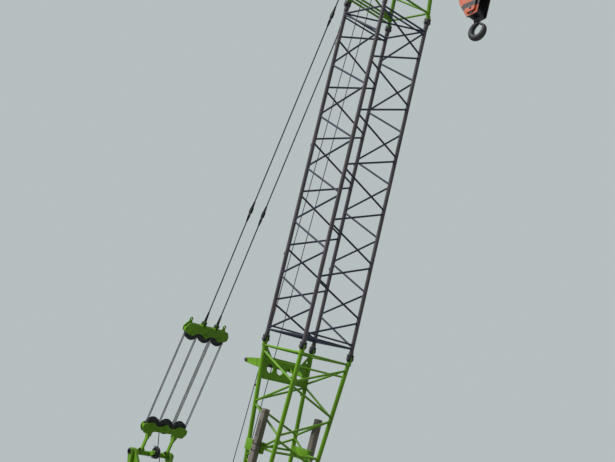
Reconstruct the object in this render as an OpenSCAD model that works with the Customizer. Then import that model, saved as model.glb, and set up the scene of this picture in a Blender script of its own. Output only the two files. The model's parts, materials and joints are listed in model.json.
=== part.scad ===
// Lattice boom crawler crane, in millimetres.
// +X points to the boom side, +Y to the cab side, +Z up.
// The origin is on the ground, on the slewing axis.

/* [Crawlers] */
// Distance between the centres of drive sprocket and idler
track_centres = 5200; // [4800:100:5800]
// Height of a track loop over its shoes
track_height = 1000; // [940:20:1100]
// Width of a track shoe
shoe_width = 850; // [700:10:900]
// Distance between the centre lines of the two tracks
track_gauge = 4000; // [3900:50:4400]
// Number of shoes in each track loop
shoe_count = 58; // [50:1:64]
// Thickness of a track shoe
shoe_thick = 60; // [45:5:70]
// Width of the chain behind the shoes
chain_width = 300; // [240:10:360]
// Depth of the chain behind the shoes
chain_thick = 50; // [40:5:60]
// Gap between two shoes
shoe_gap = 22; // [12:2:34]
// Diameter of a lower roller
roller_d = 190; // [160:5:200]
// Number of lower rollers on each side
roller_count = 11; // [8:1:12]
// Diameter of an upper roller
carrier_d = 170; // [140:5:180]
// Number of upper rollers on each side
carrier_count = 3; // [2:1:4]
// Width of rollers, idler and sprocket
wheel_width = 240; // [200:10:280]
// Diameter of the sprocket and idler axles
axle_d = 120; // [90:5:150]
// Width of a crawler side frame
side_frame_width = 480; // [420:10:540]
// Thickness of the roller and axle plates
hanger_thick = 45; // [35:5:60]

/* [Car body] */
// Length of the centre box
car_body_length = 2300; // [2000:50:2600]
// Width of the centre box
car_body_width = 2000; // [1960:20:2300]
// Height of its top over the ground
car_body_top = 1000; // [980:10:1100]
// Depth of the centre box
car_body_depth = 560; // [460:20:620]
// Width of each of the two cross beams
cross_beam_width = 520; // [400:20:640]
// Distance from the slewing axis to a cross beam
cross_beam_reach = 980; // [860:20:1100]
// Outer diameter of the slewing ring
ring_outer_d = 1900; // [1840:20:1960]
// Inner diameter of the slewing ring
ring_inner_d = 1560; // [1400:20:1600]
// Height of each half of the slewing ring
ring_height = 90; // [70:5:110]

/* [Upper works] */
// Length of the revolving frame behind the slewing axis
frame_rear = 3650; // [3500:50:3800]
// Length of the revolving frame ahead of the slewing axis
frame_front = 1250; // [1200:10:1350]
// Half width of the centre section of the frame
frame_half = 800; // [780:10:820]
// Depth of the centre section of the frame
frame_depth = 270; // [240:10:300]
// Half width of the decks beside the centre section
deck_half = 1650; // [1620:10:1700]
// Thickness of the side decks
deck_thick = 120; // [80:10:160]
// Height of the machinery hoods
hood_height = 1400; // [1200:20:1500]
// Length of the machinery hoods
hood_length = 3000; // [2600:50:3050]
// Thickness of the hood walls with their frames
hood_wall = 40; // [25:5:60]
// Inner face of a hood from the middle plane
hood_inner = 770; // [760:5:800]
// Width of the counterweight
counterweight_width = 3200; // [2900:50:3300]
// Length of the counterweight blocks
counterweight_length = 820; // [700:20:900]
// Height of the stacked counterweight blocks
counterweight_height = 1600; // [1300:50:1800]

/* [Winches] */
// Diameter of a drum barrel
drum_d = 460; // [400:10:500]
// Diameter of a drum flange
drum_flange_d = 820; // [700:10:860]
// Diameter of a drum shaft
drum_shaft_d = 140; // [110:5:160]
// Inner face of the winch side plates from the middle plane
winch_inner = 480; // [460:5:500]
// Thickness of the winch side plates
winch_plate = 60; // [45:5:60]
// Height of the drum axes over the frame
drum_lift = 560; // [520:10:600]
// Place of the main hoist drum
main_drum_x = -500; // [-560:10:-480]
// Distance from one drum to the next
drum_pitch = 960; // [920:10:1000]

/* [Cab] */
// Length of the cab
cab_length = 2000; // [1900:20:2060]
// Width of the cab
cab_width = 960; // [900:10:1000]
// Height of the cab
cab_height = 1740; // [1650:10:1800]
// Rear face of the cab from the slewing axis
cab_rear_x = 100; // [80:10:160]
// Inner face of the cab from the middle plane
cab_inner_y = 1030; // [1010:5:1060]
// Thickness of the cab walls
cab_wall = 50; // [40:5:60]
// Thickness of the window panes
glass_thick = 8; // [6:1:10]
// Width of the door opening
door_width = 860; // [780:10:900]

/* [Boom] */
// Angle of the boom over the ground
boom_angle = 70.3; // [68:0.1:72]
// Boom foot pin ahead of the slewing axis
foot_x = 1000; // [980:5:1020]
// Boom foot pin over the ground
foot_z = 1750; // [1740:5:1800]
// Width of the boom between the centres of its chords
boom_width = 1600; // [1560:10:1640]
// Depth of the boom between the centres of its chords
boom_depth = 1430; // [1390:10:1470]
// Length of the lower boom section
butt_length = 6700; // [6600:20:6800]
// Length of the middle boom section
insert_length = 9000; // [8800:50:9200]
// Length of the upper boom section to its sheave shaft
head_length = 6500; // [6400:20:6600]
// Chord centres apart at the boom foot
foot_width = 1210; // [1200:5:1230]
// Chord depth at the boom foot
foot_depth = 290; // [270:5:310]
// Diameter of the chords of the lower and upper sections
chord_d = 108; // [100:2:114]
// Diameter of the chords of the middle section
insert_chord_d = 102; // [96:2:110]
// Diameter of the lacing tubes
lacing_d = 50; // [42:2:56]
// Diameter of the boom foot pin
foot_pin_d = 110; // [90:5:120]
// Width of a section connector
connector_width = 150; // [130:5:160]
// Half length of a section connector
connector_half = 130; // [110:5:150]
// Diameter of the pins that join the sections
section_pin_d = 66; // [54:2:76]
// Side of a backstop tube
backstop_side = 170; // [150:5:180]

/* [Boom suspension] */
// Pendant ropes apart, from the middle plane
pendant_half = 220; // [200:5:240]
// Diameter of a pendant rope
pendant_d = 36; // [28:2:40]
// Diameter of the sheaves in both bridles
bridle_sheave_d = 440; // [400:10:450]
// Bridle sheaves apart
bridle_pitch = 460; // [456:2:480]
// Width of the bridle plates
bridle_width = 1600; // [1500:20:1700]
// Distance from the sheave shafts to the back of the bridle plates
bridle_back = 260; // [240:5:265]
// Thickness of a bridle plate
bridle_plate = 30; // [20:2:36]
// Clear room between the two plates of a bridle
bridle_gap = 110; // [100:2:120]
// Length of the arms of the lower bridle
bridle_arm = 800; // [760:10:820]
// Gantry head tube behind the slewing axis
gantry_head_x = -3300; // [-3340:10:-3280]
// Gantry head tube over the ground
gantry_head_z = 6320; // [6280:10:6360]
// Diameter of the gantry head tube
gantry_tube_d = 140; // [120:5:150]

/* [Head and hook] */
// Diameter of the head sheaves
head_sheave_d = 580; // [540:10:600]
// Number of head sheaves
head_sheave_count = 4; // [3:1:5]
// Diameter of the hook block sheaves
block_sheave_d = 500; // [460:10:520]
// Number of hook block sheaves
block_sheave_count = 3; // [2:1:3]
// Height of the block sheave shaft over the ground
block_shaft_z = 15700; // [15500:50:15900]
// Diameter of the hoist rope
rope_d = 22; // [18:1:26]
// Diameter of the hook bend along its centre line
hook_bend_d = 370; // [330:10:380]
// Diameter of the hook bar
hook_bar_d = 145; // [120:5:150]

/* [Access and fittings] */
// Width of the catwalks beside the decks
catwalk_width = 360; // [300:10:380]
// Thickness of the catwalk floors
catwalk_thick = 50; // [40:5:60]
// Height of the hand-rails over the catwalks
rail_height = 1000; // [900:20:1100]
// Diameter of the hand-rail posts
rail_post_d = 42; // [40:1:48]
// Diameter of the hand-rail tubes
rail_tube_d = 34; // [30:1:36]
// Distance between two hand-rail posts
rail_pitch = 900; // [800:20:1200]
// Width of the step beside the cab
cab_step_width = 330; // [280:10:350]
// Number of door panels on each hood
panel_count = 3; // [2:1:4]
// Number of louvres on a louvred panel
louvre_count = 9; // [6:1:10]
// Height of the exhaust stack over the hood
stack_height = 560; // [400:20:700]
// Chamfer of the counterweight's rear corners
counterweight_chamfer = 160; // [80:10:240]

/* [Hidden] */
$fn = 48;

// Running gap at shafts, seats and rails
fit = 0.3;
// Least clearance between pieces that move past each other
free_gap = 5;
// Extra depth of a cut past the face that it opens
over = 1;
green = [0.35, 0.62, 0.12];
dark = [0.1, 0.1, 0.11];
grey = [0.45, 0.45, 0.44];

// Tube from point p to point q
module rod(p, q, r) {
    d = q - p;
    translate(p)
        rotate([0, acos(d.z / norm(d)), atan2(d.y, d.x)])
            cylinder(h = norm(d), r = r);
}

// Box given by its low corner and its high corner
module block(a, b) {
    translate(a) cube(b - a);
}

// Round bar along Y, centred at p
module bar_y(p, length, r) {
    translate([p.x, p.y + length / 2, p.z]) rotate([90, 0, 0]) cylinder(h = length, r = r);
}

// Flat plate in the XZ plane, centred on y, from an outline of [x, z] points
module plate_y(outline, y, thick) {
    translate([0, y + thick / 2, 0]) rotate([90, 0, 0]) linear_extrude(thick) polygon(outline);
}

// Flat plate in the YZ plane, centred on x, from an outline of [y, z] points
module plate_x(outline, x, thick) {
    translate([x - thick / 2, 0, 0]) rotate([90, 0, 90]) linear_extrude(thick) polygon(outline);
}

// Grooved rope sheave along Z, centred on the origin
module sheave(d, width, bore, groove = 30) {
    rotate_extrude()
        polygon([[bore / 2, -width / 2], [d / 2, -width / 2], [d / 2 - groove, -width / 8],
            [d / 2 - groove, width / 8], [d / 2, width / 2], [bore / 2, width / 2]]);
}

module both_sides() {
    children();
    mirror([0, 1, 0]) children();
}

// What is drawn for the +Y side, put on side s
module on_side(s) {
    if (s > 0) children();
    else mirror([0, 1, 0]) children();
}

// Crawlers
loop_r = track_height / 2;
link_r = loop_r - shoe_thick;
chain_r = link_r - chain_thick;
pitch_length = 2 * track_centres + 2 * PI * loop_r;
shoe_pitch = pitch_length / shoe_count;
side_y = track_gauge / 2;
half_run = track_centres / 2;

// Point on the loop at arc length s, at distance r from the wheel centres' line
function loop_point(s, r) =
    let (arc = PI * loop_r, u = (s + pitch_length) % pitch_length)
    u < half_run ? [u, loop_r - r]
    : u < half_run + arc ? loop_arc(half_run, (u - half_run) / loop_r, r)
    : u < 3 * half_run + arc ? [half_run - (u - half_run - arc), loop_r + r]
    : u < 3 * half_run + 2 * arc ? loop_back(-half_run, (u - 3 * half_run - arc) / loop_r, r)
    : [u - pitch_length, loop_r - r];
function loop_arc(cx, a, r) =
    let (t = a * 180 / PI) [cx + r * sin(t), loop_r - r * cos(t)];
function loop_back(cx, a, r) =
    let (t = a * 180 / PI) [cx - r * sin(t), loop_r + r * cos(t)];

module stadium(r, height) {
    linear_extrude(height, center = true) union() {
        for (x = [-half_run, half_run]) translate([x, loop_r]) circle(r);
        translate([-half_run, loop_r - r]) square([track_centres, 2 * r]);
    }
}

module track(y) {
    shoes = [for (k = [0:shoe_count - 1])
        let (a = (k - 0.5) * shoe_pitch + shoe_gap / 2, b = (k + 0.5) * shoe_pitch - shoe_gap / 2)
        each [loop_point(a, link_r + 8), loop_point(a, loop_r), loop_point(b, loop_r),
            loop_point(b, link_r + 8)]];
    color(dark) translate([0, y, 0]) rotate([90, 0, 0]) difference() {
        union() {
            linear_extrude(shoe_width, center = true) polygon(shoes);
            stadium(link_r - 12, chain_width);
        }
        stadium(chain_r, shoe_width + 2 * over);
        for (side = [-1, 1])
            translate([0, 0, side * (chain_width / 2 + shoe_width / 2)])
                stadium(link_r - 12, shoe_width);
    }
}
module track_left() track(side_y);
module track_right() track(-side_y);

hanger_inner = wheel_width / 2 + 8;
hanger_outer = hanger_inner + hanger_thick;
roller_z = loop_r - chain_r + fit + roller_d / 2;
carrier_z = loop_r + chain_r - fit - carrier_d / 2;
box_low = roller_z + roller_d / 2 + 12;
box_high = carrier_z - carrier_d / 2 - 12;
box_end = half_run - chain_r - 30;
roller_axle_d = 56;
roller_run = 2 * box_end - 80;
function roller_x(k) = -roller_run / 2 + roller_d / 2
    + k * (roller_run - roller_d) / (roller_count - 1);
function carrier_x(k) = (k - (carrier_count - 1) / 2) * track_centres / (carrier_count + 1);

module side_frame(y) {
    color(green) translate([0, y, 0]) difference() {
        union() {
            block([-box_end, -side_frame_width / 2, box_low],
                [box_end, side_frame_width / 2, box_high]);
            for (s = [-1, 1]) {
                yy = s * (hanger_inner + hanger_thick / 2);
                plate_y([[-box_end, loop_r - chain_r + 30], [box_end, loop_r - chain_r + 30],
                    [box_end, box_low + 20], [-box_end, box_low + 20]], yy, hanger_thick);
                plate_y([[-half_run, loop_r - 150], [half_run, loop_r - 150],
                    [half_run, loop_r + 150], [-half_run, loop_r + 150]], yy, hanger_thick);
                for (e = [-1, 1])
                    bar_y([e * half_run, yy, loop_r], hanger_thick, 150);
                for (k = [0:carrier_count - 1])
                    plate_y([[carrier_x(k) - 90, box_high - 20], [carrier_x(k) + 90, box_high - 20],
                        [carrier_x(k) + 50, carrier_z + 50], [carrier_x(k) - 50, carrier_z + 50]],
                        yy, hanger_thick);
            }
        }
        for (e = [-1, 1])
            bar_y([e * half_run, 0, loop_r], shoe_width, axle_d / 2 + fit);
        for (k = [0:roller_count - 1])
            bar_y([roller_x(k), 0, roller_z], shoe_width, roller_axle_d / 2 + fit);
        for (k = [0:carrier_count - 1])
            bar_y([carrier_x(k), 0, carrier_z], shoe_width, roller_axle_d / 2 + fit);
    }
}
module side_frame_left() side_frame(side_y);
module side_frame_right() side_frame(-side_y);

module drive_sprockets() {
    teeth = 13;
    color(dark) for (s = [-1, 1]) translate([-half_run, s * side_y, loop_r]) {
        difference() {
            rotate([90, 0, 0]) cylinder(h = wheel_width, r = chain_r - fit, center = true);
            for (k = [0:teeth - 1])
                rotate([0, (k + 0.5) * 360 / teeth, 0])
                    bar_y([0, 0, chain_r + 10], wheel_width + 2 * over, 48);
        }
        bar_y([0, 0, 0], 2 * hanger_outer + 60, axle_d / 2);
        bar_y([0, s * (hanger_outer + 5 + 55), 0], 110, 190);
        bar_y([0, -s * (hanger_outer + 5 + 70), 0], 140, 210);
    }
}

module idlers() {
    color(dark) for (s = [-1, 1]) translate([half_run, s * side_y, loop_r]) {
        difference() {
            bar_y([0, 0, 0], wheel_width, chain_r - fit);
            for (f = [-1, 1])
                bar_y([0, f * wheel_width / 2, 0], 90, chain_r - 80);
        }
        bar_y([0, 0, 0], 2 * hanger_outer + 50, axle_d / 2);
    }
}

module track_rollers() {
    color(dark) for (s = [-1, 1]) translate([0, s * side_y, 0]) {
        for (k = [0:roller_count - 1]) {
            bar_y([roller_x(k), 0, roller_z], wheel_width, roller_d / 2);
            bar_y([roller_x(k), 0, roller_z], 2 * hanger_outer + 20, roller_axle_d / 2);
        }
        for (k = [0:carrier_count - 1]) {
            bar_y([carrier_x(k), 0, carrier_z], wheel_width, carrier_d / 2);
            bar_y([carrier_x(k), 0, carrier_z], 2 * hanger_outer + 20, roller_axle_d / 2);
        }
    }
}

// Car body
beam_high = box_high - 10;
beam_low = box_low + 10;
module car_body() {
    color(green) union() {
        block([-car_body_length / 2, -car_body_width / 2, car_body_top - car_body_depth],
            [car_body_length / 2, car_body_width / 2, car_body_top]);
        for (x = [-cross_beam_reach, cross_beam_reach])
            block([x - cross_beam_width / 2, -side_y + side_frame_width / 2, beam_low],
                [x + cross_beam_width / 2, side_y - side_frame_width / 2, beam_high]);
    }
}

module ring(low) {
    translate([0, 0, low]) difference() {
        cylinder(h = ring_height, d = ring_outer_d, $fn = 96);
        translate([0, 0, -over]) cylinder(h = ring_height + 2 * over, d = ring_inner_d, $fn = 96);
    }
}
module slew_ring_lower() color(grey) ring(car_body_top);
module slew_ring_upper() color(grey) ring(car_body_top + ring_height + fit);

// Revolving frame
frame_low = car_body_top + 2 * ring_height + fit;
frame_top = frame_low + frame_depth;
deck_low = frame_top - deck_thick;
winch_outer = winch_inner + winch_plate;
drum_z = frame_top + drum_lift;
second_drum_x = main_drum_x - drum_pitch;
boom_drum_x = main_drum_x - 2 * drum_pitch;
foot_y = foot_width / 2;
lug_half = 60;
ear_thick = 50;
ear_r = 160;
leg_thick = 90;
front_leg_y = winch_outer + leg_thick / 2;
rear_leg_y = winch_outer + 1.5 * leg_thick;
leg_pin_d = 90;
front_foot = [-1000, frame_top + 420];
rear_foot = [-frame_rear + 110, frame_top + 420];
stop_y = foot_y + 275;
stop_width = 120;
motor_length = 140;
motor_r = 130;
bearing_cap = 30;
side_deck_front = -400;
cab_low = frame_low + 80;

// Side plate that carries one end of the three winch shafts
module winch_cheek(y) {
    plate_y([[boom_drum_x - 320, frame_top], [main_drum_x + 320, frame_top],
        [main_drum_x + 140, drum_z + 150], [boom_drum_x - 140, drum_z + 150]], y, winch_plate);
}

// Ear of the boom foot clevis
module foot_ear(y) {
    plate_y([[foot_x - 260, frame_top], [foot_x + 230, frame_top],
        [foot_x + ear_r * 0.8, foot_z], [foot_x - ear_r * 0.8, foot_z]], y, ear_thick);
    bar_y([foot_x, y, foot_z], ear_thick, ear_r);
}

// Lug of a gantry leg foot
module leg_lug(at, y) {
    plate_y([[at.x - 105, frame_top], [at.x + 105, frame_top],
        [at.x + 80, at.y], [at.x - 80, at.y]], y, ear_thick);
    bar_y([at.x, y, at.y], ear_thick, 84);
}

module revolving_frame() {
    color(green) union() {
        block([-frame_rear, -frame_half, frame_low], [frame_front, frame_half, frame_top]);
        for (s = [-1, 1])
            block([-frame_rear, s > 0 ? frame_half - over : -deck_half, deck_low],
                [side_deck_front, s > 0 ? deck_half : -frame_half + over, frame_top]);
        block([cab_rear_x, frame_half - over, frame_low],
            [cab_rear_x + cab_length - 50, cab_inner_y + cab_width, cab_low]);
        block([side_deck_front - over, -deck_half, deck_low],
            [frame_front, -frame_half + over, frame_top]);
        block([foot_x - 350, frame_half - over, deck_low],
            [foot_x - 90, stop_y + stop_width / 2 + 8, frame_top]);
    }
}

// Stands on the frame: winch plates with their motors, boom foot ears, gantry lugs and stop posts
module deck_stands() {
    color(green) difference() {
        for (s = [-1, 1]) {
            winch_cheek(s * (winch_inner + winch_plate / 2));
            for (e = [-1, 1])
                foot_ear(s * foot_y + e * (lug_half + free_gap + ear_thick / 2));
            leg_lug(front_foot, s * (winch_outer + leg_thick + ear_thick / 2));
            leg_lug(rear_foot, s * (rear_leg_y - leg_thick / 2 - ear_thick / 2));
            leg_lug(rear_foot, s * (rear_leg_y + leg_thick / 2 + ear_thick / 2));
            block([foot_x - 310, s * stop_y - stop_width / 2, frame_top],
                [foot_x - 130, s * stop_y + stop_width / 2, foot_z + 500]);
        }
        for (x = [main_drum_x, second_drum_x, boom_drum_x]) {
            bar_y([x, -winch_outer - motor_length / 2, drum_z], motor_length + 2 * over, motor_r);
            bar_y([x, -winch_outer - motor_length, drum_z], motor_length, motor_r * 0.6);
            bar_y([x, winch_outer + bearing_cap / 2, drum_z], bearing_cap + 2 * over, motor_r);
        }
        for (s = [-1, 1]) {
            bar_y([foot_x, s * foot_y, foot_z], 400, foot_pin_d / 2 + fit);
            for (x = [main_drum_x, second_drum_x, boom_drum_x])
                bar_y([x, s * (winch_inner + winch_plate / 2), drum_z], winch_plate + 2 * over,
                    drum_shaft_d / 2 + fit);
            for (f = [front_foot, rear_foot])
                bar_y([f.x, s * (winch_outer + leg_thick), f.y], 3 * leg_thick + 2 * ear_thick,
                    leg_pin_d / 2 + fit);
        }
    }
    color(dark) for (s = [-1, 1])
        bar_y([foot_x, s * foot_y, foot_z], 2 * (lug_half + free_gap + ear_thick) + 60,
            foot_pin_d / 2);
}

// Machinery hoods
hood_rear_x = -frame_rear + 60;
hood_top = frame_top + hood_height;
hood_in_y = hood_inner + 40;
panel_proud = 8;
panel_gap = 24;
panel_margin = 60;
louvre_pitch = 66;
// Door panels on the outer wall, louvred ones at both ends
module hood_panels() {
    width = (hood_length - 2 * panel_margin + panel_gap) / panel_count;
    for (k = [0:panel_count - 1]) {
        x = hood_rear_x + panel_margin + k * width;
        block([x, deck_half - over, frame_top + panel_margin],
            [x + width - panel_gap, deck_half + panel_proud, hood_top - 110]);
        if (k == 0 || k == panel_count - 1)
            for (j = [0:louvre_count - 1])
                translate([0, deck_half + panel_proud, frame_top + 520 + j * louvre_pitch])
                    plate_x([[-over, 0], [24, 6], [24, 16], [-over, 42]],
                        x + (width - panel_gap) / 2, width - 200);
    }
}
// Hatch on the hood roof from x0 to x1
module hood_hatch(x0, x1) {
    block([x0, hood_in_y + 120, hood_top - over], [x1, deck_half - 120, hood_top + 12]);
}
module hood(s) {
    color(green) on_side(s) {
        difference() {
            block([hood_rear_x, hood_in_y, frame_top], [hood_rear_x + hood_length, deck_half, hood_top]);
            block([hood_rear_x + hood_wall, hood_in_y + hood_wall, frame_top - over],
                [hood_rear_x + hood_length - hood_wall, deck_half - hood_wall, hood_top - hood_wall]);
        }
        hood_panels();
        hood_hatch(hood_rear_x + 120, hood_rear_x + 1080);
        hood_hatch(hood_rear_x + hood_length - 700, hood_rear_x + hood_length - 80);
        for (k = [0:9])
            block([hood_rear_x + 180 + k * 90, hood_in_y + 180, hood_top + 11],
                [hood_rear_x + 210 + k * 90, deck_half - 180, hood_top + 40]);
    }
}
module hood_left() hood(1);
module hood_right() hood(-1);

module engine() {
    color(grey) block([-2900, -1500, frame_top], [-1500, -960, frame_top + 850]);
}

module fuel_tank() {
    cut = 70;
    y0 = -deck_half + 20;
    y1 = -stop_y - stop_width / 2 - 60;
    z1 = frame_top + 560;
    x0 = side_deck_front + 60;
    x1 = foot_x - 200;
    color(green) {
        plate_x([[y0, frame_top], [y1, frame_top], [y1, z1 - cut], [y1 - cut, z1], [y0 + cut, z1],
            [y0, z1 - cut]], (x0 + x1) / 2, x1 - x0);
        translate([x1 - 200, (y0 + y1) / 2, z1 - over]) cylinder(h = 50, r = 60);
    }
}

// Catwalks, the step beside the cab and the hand-rails
catwalk_rear = -frame_rear + 50;
catwalk_out = deck_half + catwalk_width;
catwalk_low = frame_top - catwalk_thick;
catwalk_ends = [[-1, frame_front], [1, cab_rear_x - 60]];
edge_beam = 24;
bracket_pitch = 800;
module catwalk(x0, x1) {
    beam_y = catwalk_out - edge_beam;
    count = round((x1 - x0) / bracket_pitch);
    block([x0, deck_half, catwalk_low], [x1, catwalk_out, frame_top]);
    block([x0, beam_y, deck_low], [x1, catwalk_out, catwalk_low + over]);
    for (k = [0:count])
        plate_x([[deck_half, deck_low + 4], [beam_y + over, deck_low + 40],
            [beam_y + over, catwalk_low + over], [deck_half, catwalk_low + over]],
            lerp(x0 + 40, x1 - 40, k / count), 16);
}
step_low = cab_low + 10;
step_out = cab_inner_y + cab_width + cab_step_width;
module catwalks() {
    color(dark) {
        for (e = catwalk_ends) on_side(e[0]) catwalk(catwalk_rear, e[1]);
        block([cab_rear_x + 50, cab_inner_y + cab_width, step_low],
            [cab_rear_x + cab_length - 50, step_out, step_low + 40]);
        for (x = [cab_rear_x + 800, cab_rear_x + 1200])
            block([x - 8, step_out - 90, step_low - 150], [x + 8, step_out, step_low + over]);
        block([cab_rear_x + 792, step_out - 90, step_low - 160],
            [cab_rear_x + 1208, step_out, step_low - 140]);
    }
}
module hand_rails() {
    color(grey) for (e = catwalk_ends) on_side(e[0]) {
        x0 = catwalk_rear + 40;
        x1 = e[1] - 40;
        y = catwalk_out - 40;
        inner = deck_half + 60;
        count = round((x1 - x0) / rail_pitch);
        for (k = [0:count])
            translate([lerp(x0, x1, k / count), y, frame_top])
                cylinder(h = rail_height, d = rail_post_d);
        for (f = [0.5, 0.96]) {
            z = frame_top + f * rail_height;
            rod([x0, y, z], [x1, y, z], rail_tube_d / 2);
            rod([x0, y, z - 3], [x0, inner, z - 3], rail_tube_d / 2 - 3);
        }
        translate([x0, inner, frame_top]) cylinder(h = rail_height, d = rail_post_d);
    }
}

stack_at = [-2150, -(hood_in_y + deck_half) / 2];
intake_at = [-1760, stack_at.y];
// Silencer with its pipe, and the air intake, on the right hood
module exhaust_stack() {
    color(dark) {
        translate([stack_at.x, stack_at.y, hood_top]) difference() {
            union() {
                cylinder(h = 16, r = 140);
                translate([0, 0, 15]) cylinder(h = 300, r = 105);
                cylinder(h = stack_height, r = 46);
            }
            translate([0, 0, stack_height - 120]) cylinder(h = 121, r = 38);
        }
        translate([intake_at.x, intake_at.y, hood_top]) {
            cylinder(h = 200, r = 62);
            translate([0, 0, 150]) cylinder(h = 110, r = 118);
            translate([0, 0, 259]) cylinder(h = 50, r1 = 118, r2 = 60);
        }
    }
}

// Counterweight
tray_depth = 160;
module counterweight_tray() {
    color(dark) block([-frame_rear - counterweight_length - 60, -counterweight_width / 2, frame_low],
        [-frame_rear, counterweight_width / 2, frame_low + tray_depth]);
}
module counterweight_blocks() {
    layers = 4;
    layer = counterweight_height / layers;
    base = frame_low + tray_depth;
    x0 = -frame_rear - counterweight_length - 30;
    x1 = -frame_rear - 20;
    half = counterweight_width / 2;
    cut = counterweight_chamfer;
    color(green) for (s = [-1, 1]) on_side(s) {
        for (k = [0:layers - 1])
            translate([0, 0, base + k * layer]) linear_extrude(layer)
                polygon([[x0, 4], [x1, 4], [x1, half], [x0 + cut, half], [x0, half - cut]]);
        for (f = [0.22, 0.75]) difference() {
            translate([(x0 + x1) / 2, 0, base + counterweight_height]) union() {
                plate_y([[-90, -over], [90, -over], [50, 90], [-50, 90]], f * half, 40);
                bar_y([0, f * half, 90], 40, 52);
            }
            bar_y([(x0 + x1) / 2, f * half, base + counterweight_height + 90], 60, 26);
        }
    }
}

// Gantry
head_eye_r = 150;
module leg(foot, y, width) {
    top = [gantry_head_x, gantry_head_z];
    d = top - foot;
    side = width / 2 * [-d.y, d.x] / norm(d);
    color(green) difference() {
        union() {
            plate_y([foot + side, foot - side, top - side, top + side], y, leg_thick);
            bar_y([foot.x, y, foot.y], leg_thick, width / 2 + 6);
            bar_y([top.x, y, top.y], leg_thick, head_eye_r);
        }
        bar_y([top.x, y, top.y], leg_thick + 2 * over, gantry_tube_d / 2 + fit);
    }
}
// Cross tubes between a pair of legs, at shares f of the leg's length
module leg_ties(foot, y, shares) {
    color(green) for (f = shares) {
        at = lerp(foot, [gantry_head_x, gantry_head_z], f);
        bar_y([at.x, 0, at.y], 2 * y - leg_thick + 2 * over, 50);
    }
}
module gantry_front_legs() {
    both_sides() {
        leg(front_foot, front_leg_y, 220);
        color(dark) bar_y([front_foot.x, winch_outer + leg_thick / 2 + ear_thick / 2 - winch_plate / 2,
            front_foot.y], leg_thick + ear_thick + winch_plate, leg_pin_d / 2);
    }
    leg_ties(front_foot, front_leg_y, [0.35, 0.52]);
}
module gantry_rear_legs() {
    both_sides() {
        leg(rear_foot, rear_leg_y, 160);
        color(dark) bar_y([rear_foot.x, rear_leg_y, rear_foot.y], leg_thick + 2 * ear_thick,
            leg_pin_d / 2);
    }
    leg_ties(rear_foot, rear_leg_y, [0.42, 0.75]);
}

pull_angle = 54.6;
bridle_pin = [gantry_head_x + 167, gantry_head_z + 48];
bridle_pin_d = 64;
arm_y = 440;
arm_thick = 50;
guide_x = gantry_head_x + 250;
guide_d = 340;
guide_width = 80;
guide_pin_d = 60;
module gantry_head() {
    color(green) difference() {
        union() {
            bar_y([gantry_head_x, 0, gantry_head_z], 2 * (rear_leg_y + leg_thick / 2) + 60,
                gantry_tube_d / 2);
            for (s = [-1, 1]) {
                for (e = [-1, 1])
                    plate_y([[gantry_head_x - 60, gantry_head_z - 60],
                        [bridle_pin.x + 70, bridle_pin.y - 60], [bridle_pin.x + 70, bridle_pin.y + 60],
                        [gantry_head_x - 60, gantry_head_z + 80]],
                        s * arm_y + e * (arm_thick / 2 + fit + 15), 30);
                plate_y([[gantry_head_x - 60, gantry_head_z - 70], [guide_x + 60, gantry_head_z - 60],
                    [guide_x + 60, gantry_head_z + 60], [gantry_head_x - 60, gantry_head_z + 70]],
                    s * (guide_width / 2 + free_gap + 15), 30);
            }
        }
        for (s = [-1, 1])
            bar_y([bridle_pin.x, s * arm_y, bridle_pin.y], 160, bridle_pin_d / 2 + fit);
        bar_y([guide_x, 0, gantry_head_z], 200, guide_pin_d / 2 + fit);
    }
    color(dark) for (s = [-1, 1])
        bar_y([bridle_pin.x, s * arm_y, bridle_pin.y], 150, bridle_pin_d / 2);
}
module gantry_guide_sheave() {
    color(dark) translate([guide_x, 0, gantry_head_z]) rotate([90, 0, 0]) {
        sheave(guide_d, guide_width, 0);
        cylinder(h = 180, d = guide_pin_d, center = true);
    }
}

// Half outline of a bridle plate, [towards its carrier, sideways]; arch hollows the carrier side
function bridle_half(arch) = let (w = bridle_width / 2, p = bridle_pitch, lobe = 75)
    [[bridle_back - arch, 0], [bridle_back - arch, 0.7 * p], [bridle_back, p], [bridle_back, w - 130],
        [120, w - 40], [0, w - 55], [-45, w - 150], [-lobe, p + 40], [-lobe, p - 40], [15, 0.68 * p],
        [15, 0.32 * p], [-lobe, 40]];
// Pair of plates with three sheave shafts, its carrier along +X in its own frame
module bridle_plates(arch) {
    half = bridle_half(arch);
    last = len(half) - 1;
    outline = concat(half, [for (k = [last:-1:1]) [half[k].x, -half[k].y]]);
    for (s = [-1, 1])
        translate([0, 0, s * (bridle_gap + bridle_plate) / 2 - bridle_plate / 2])
            linear_extrude(bridle_plate) polygon(outline);
    for (k = [-1:1])
        translate([0, k * bridle_pitch, 0])
            cylinder(h = bridle_gap + 2 * bridle_plate + 40, d = 90, center = true);
    for (s = [-1, 1]) {
        translate([60, s * (bridle_width / 2 - 80), 0])
            block([-50, -15, -bridle_gap / 2 - over], [50, 15, bridle_gap / 2 + over]);
        translate([160, s * bridle_pitch / 2, 0])
            cylinder(h = bridle_gap + 2 * over, d = 50, center = true);
    }
}
module bridle_sheaves() {
    color(dark) for (k = [-1:1], s = [-1, 1])
        translate([0, k * bridle_pitch, s * (bridle_gap / 4 - fit / 2)])
            sheave(bridle_sheave_d - 2 * fit, bridle_gap / 2 - 3 * fit, 90 + 2 * fit);
}
arm_end = bridle_arm - bridle_sheave_d / 2 - 15;
module at_lower_bridle() {
    translate([bridle_pin.x, 0, bridle_pin.y]) rotate([0, -pull_angle, 0]) children();
}
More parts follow.
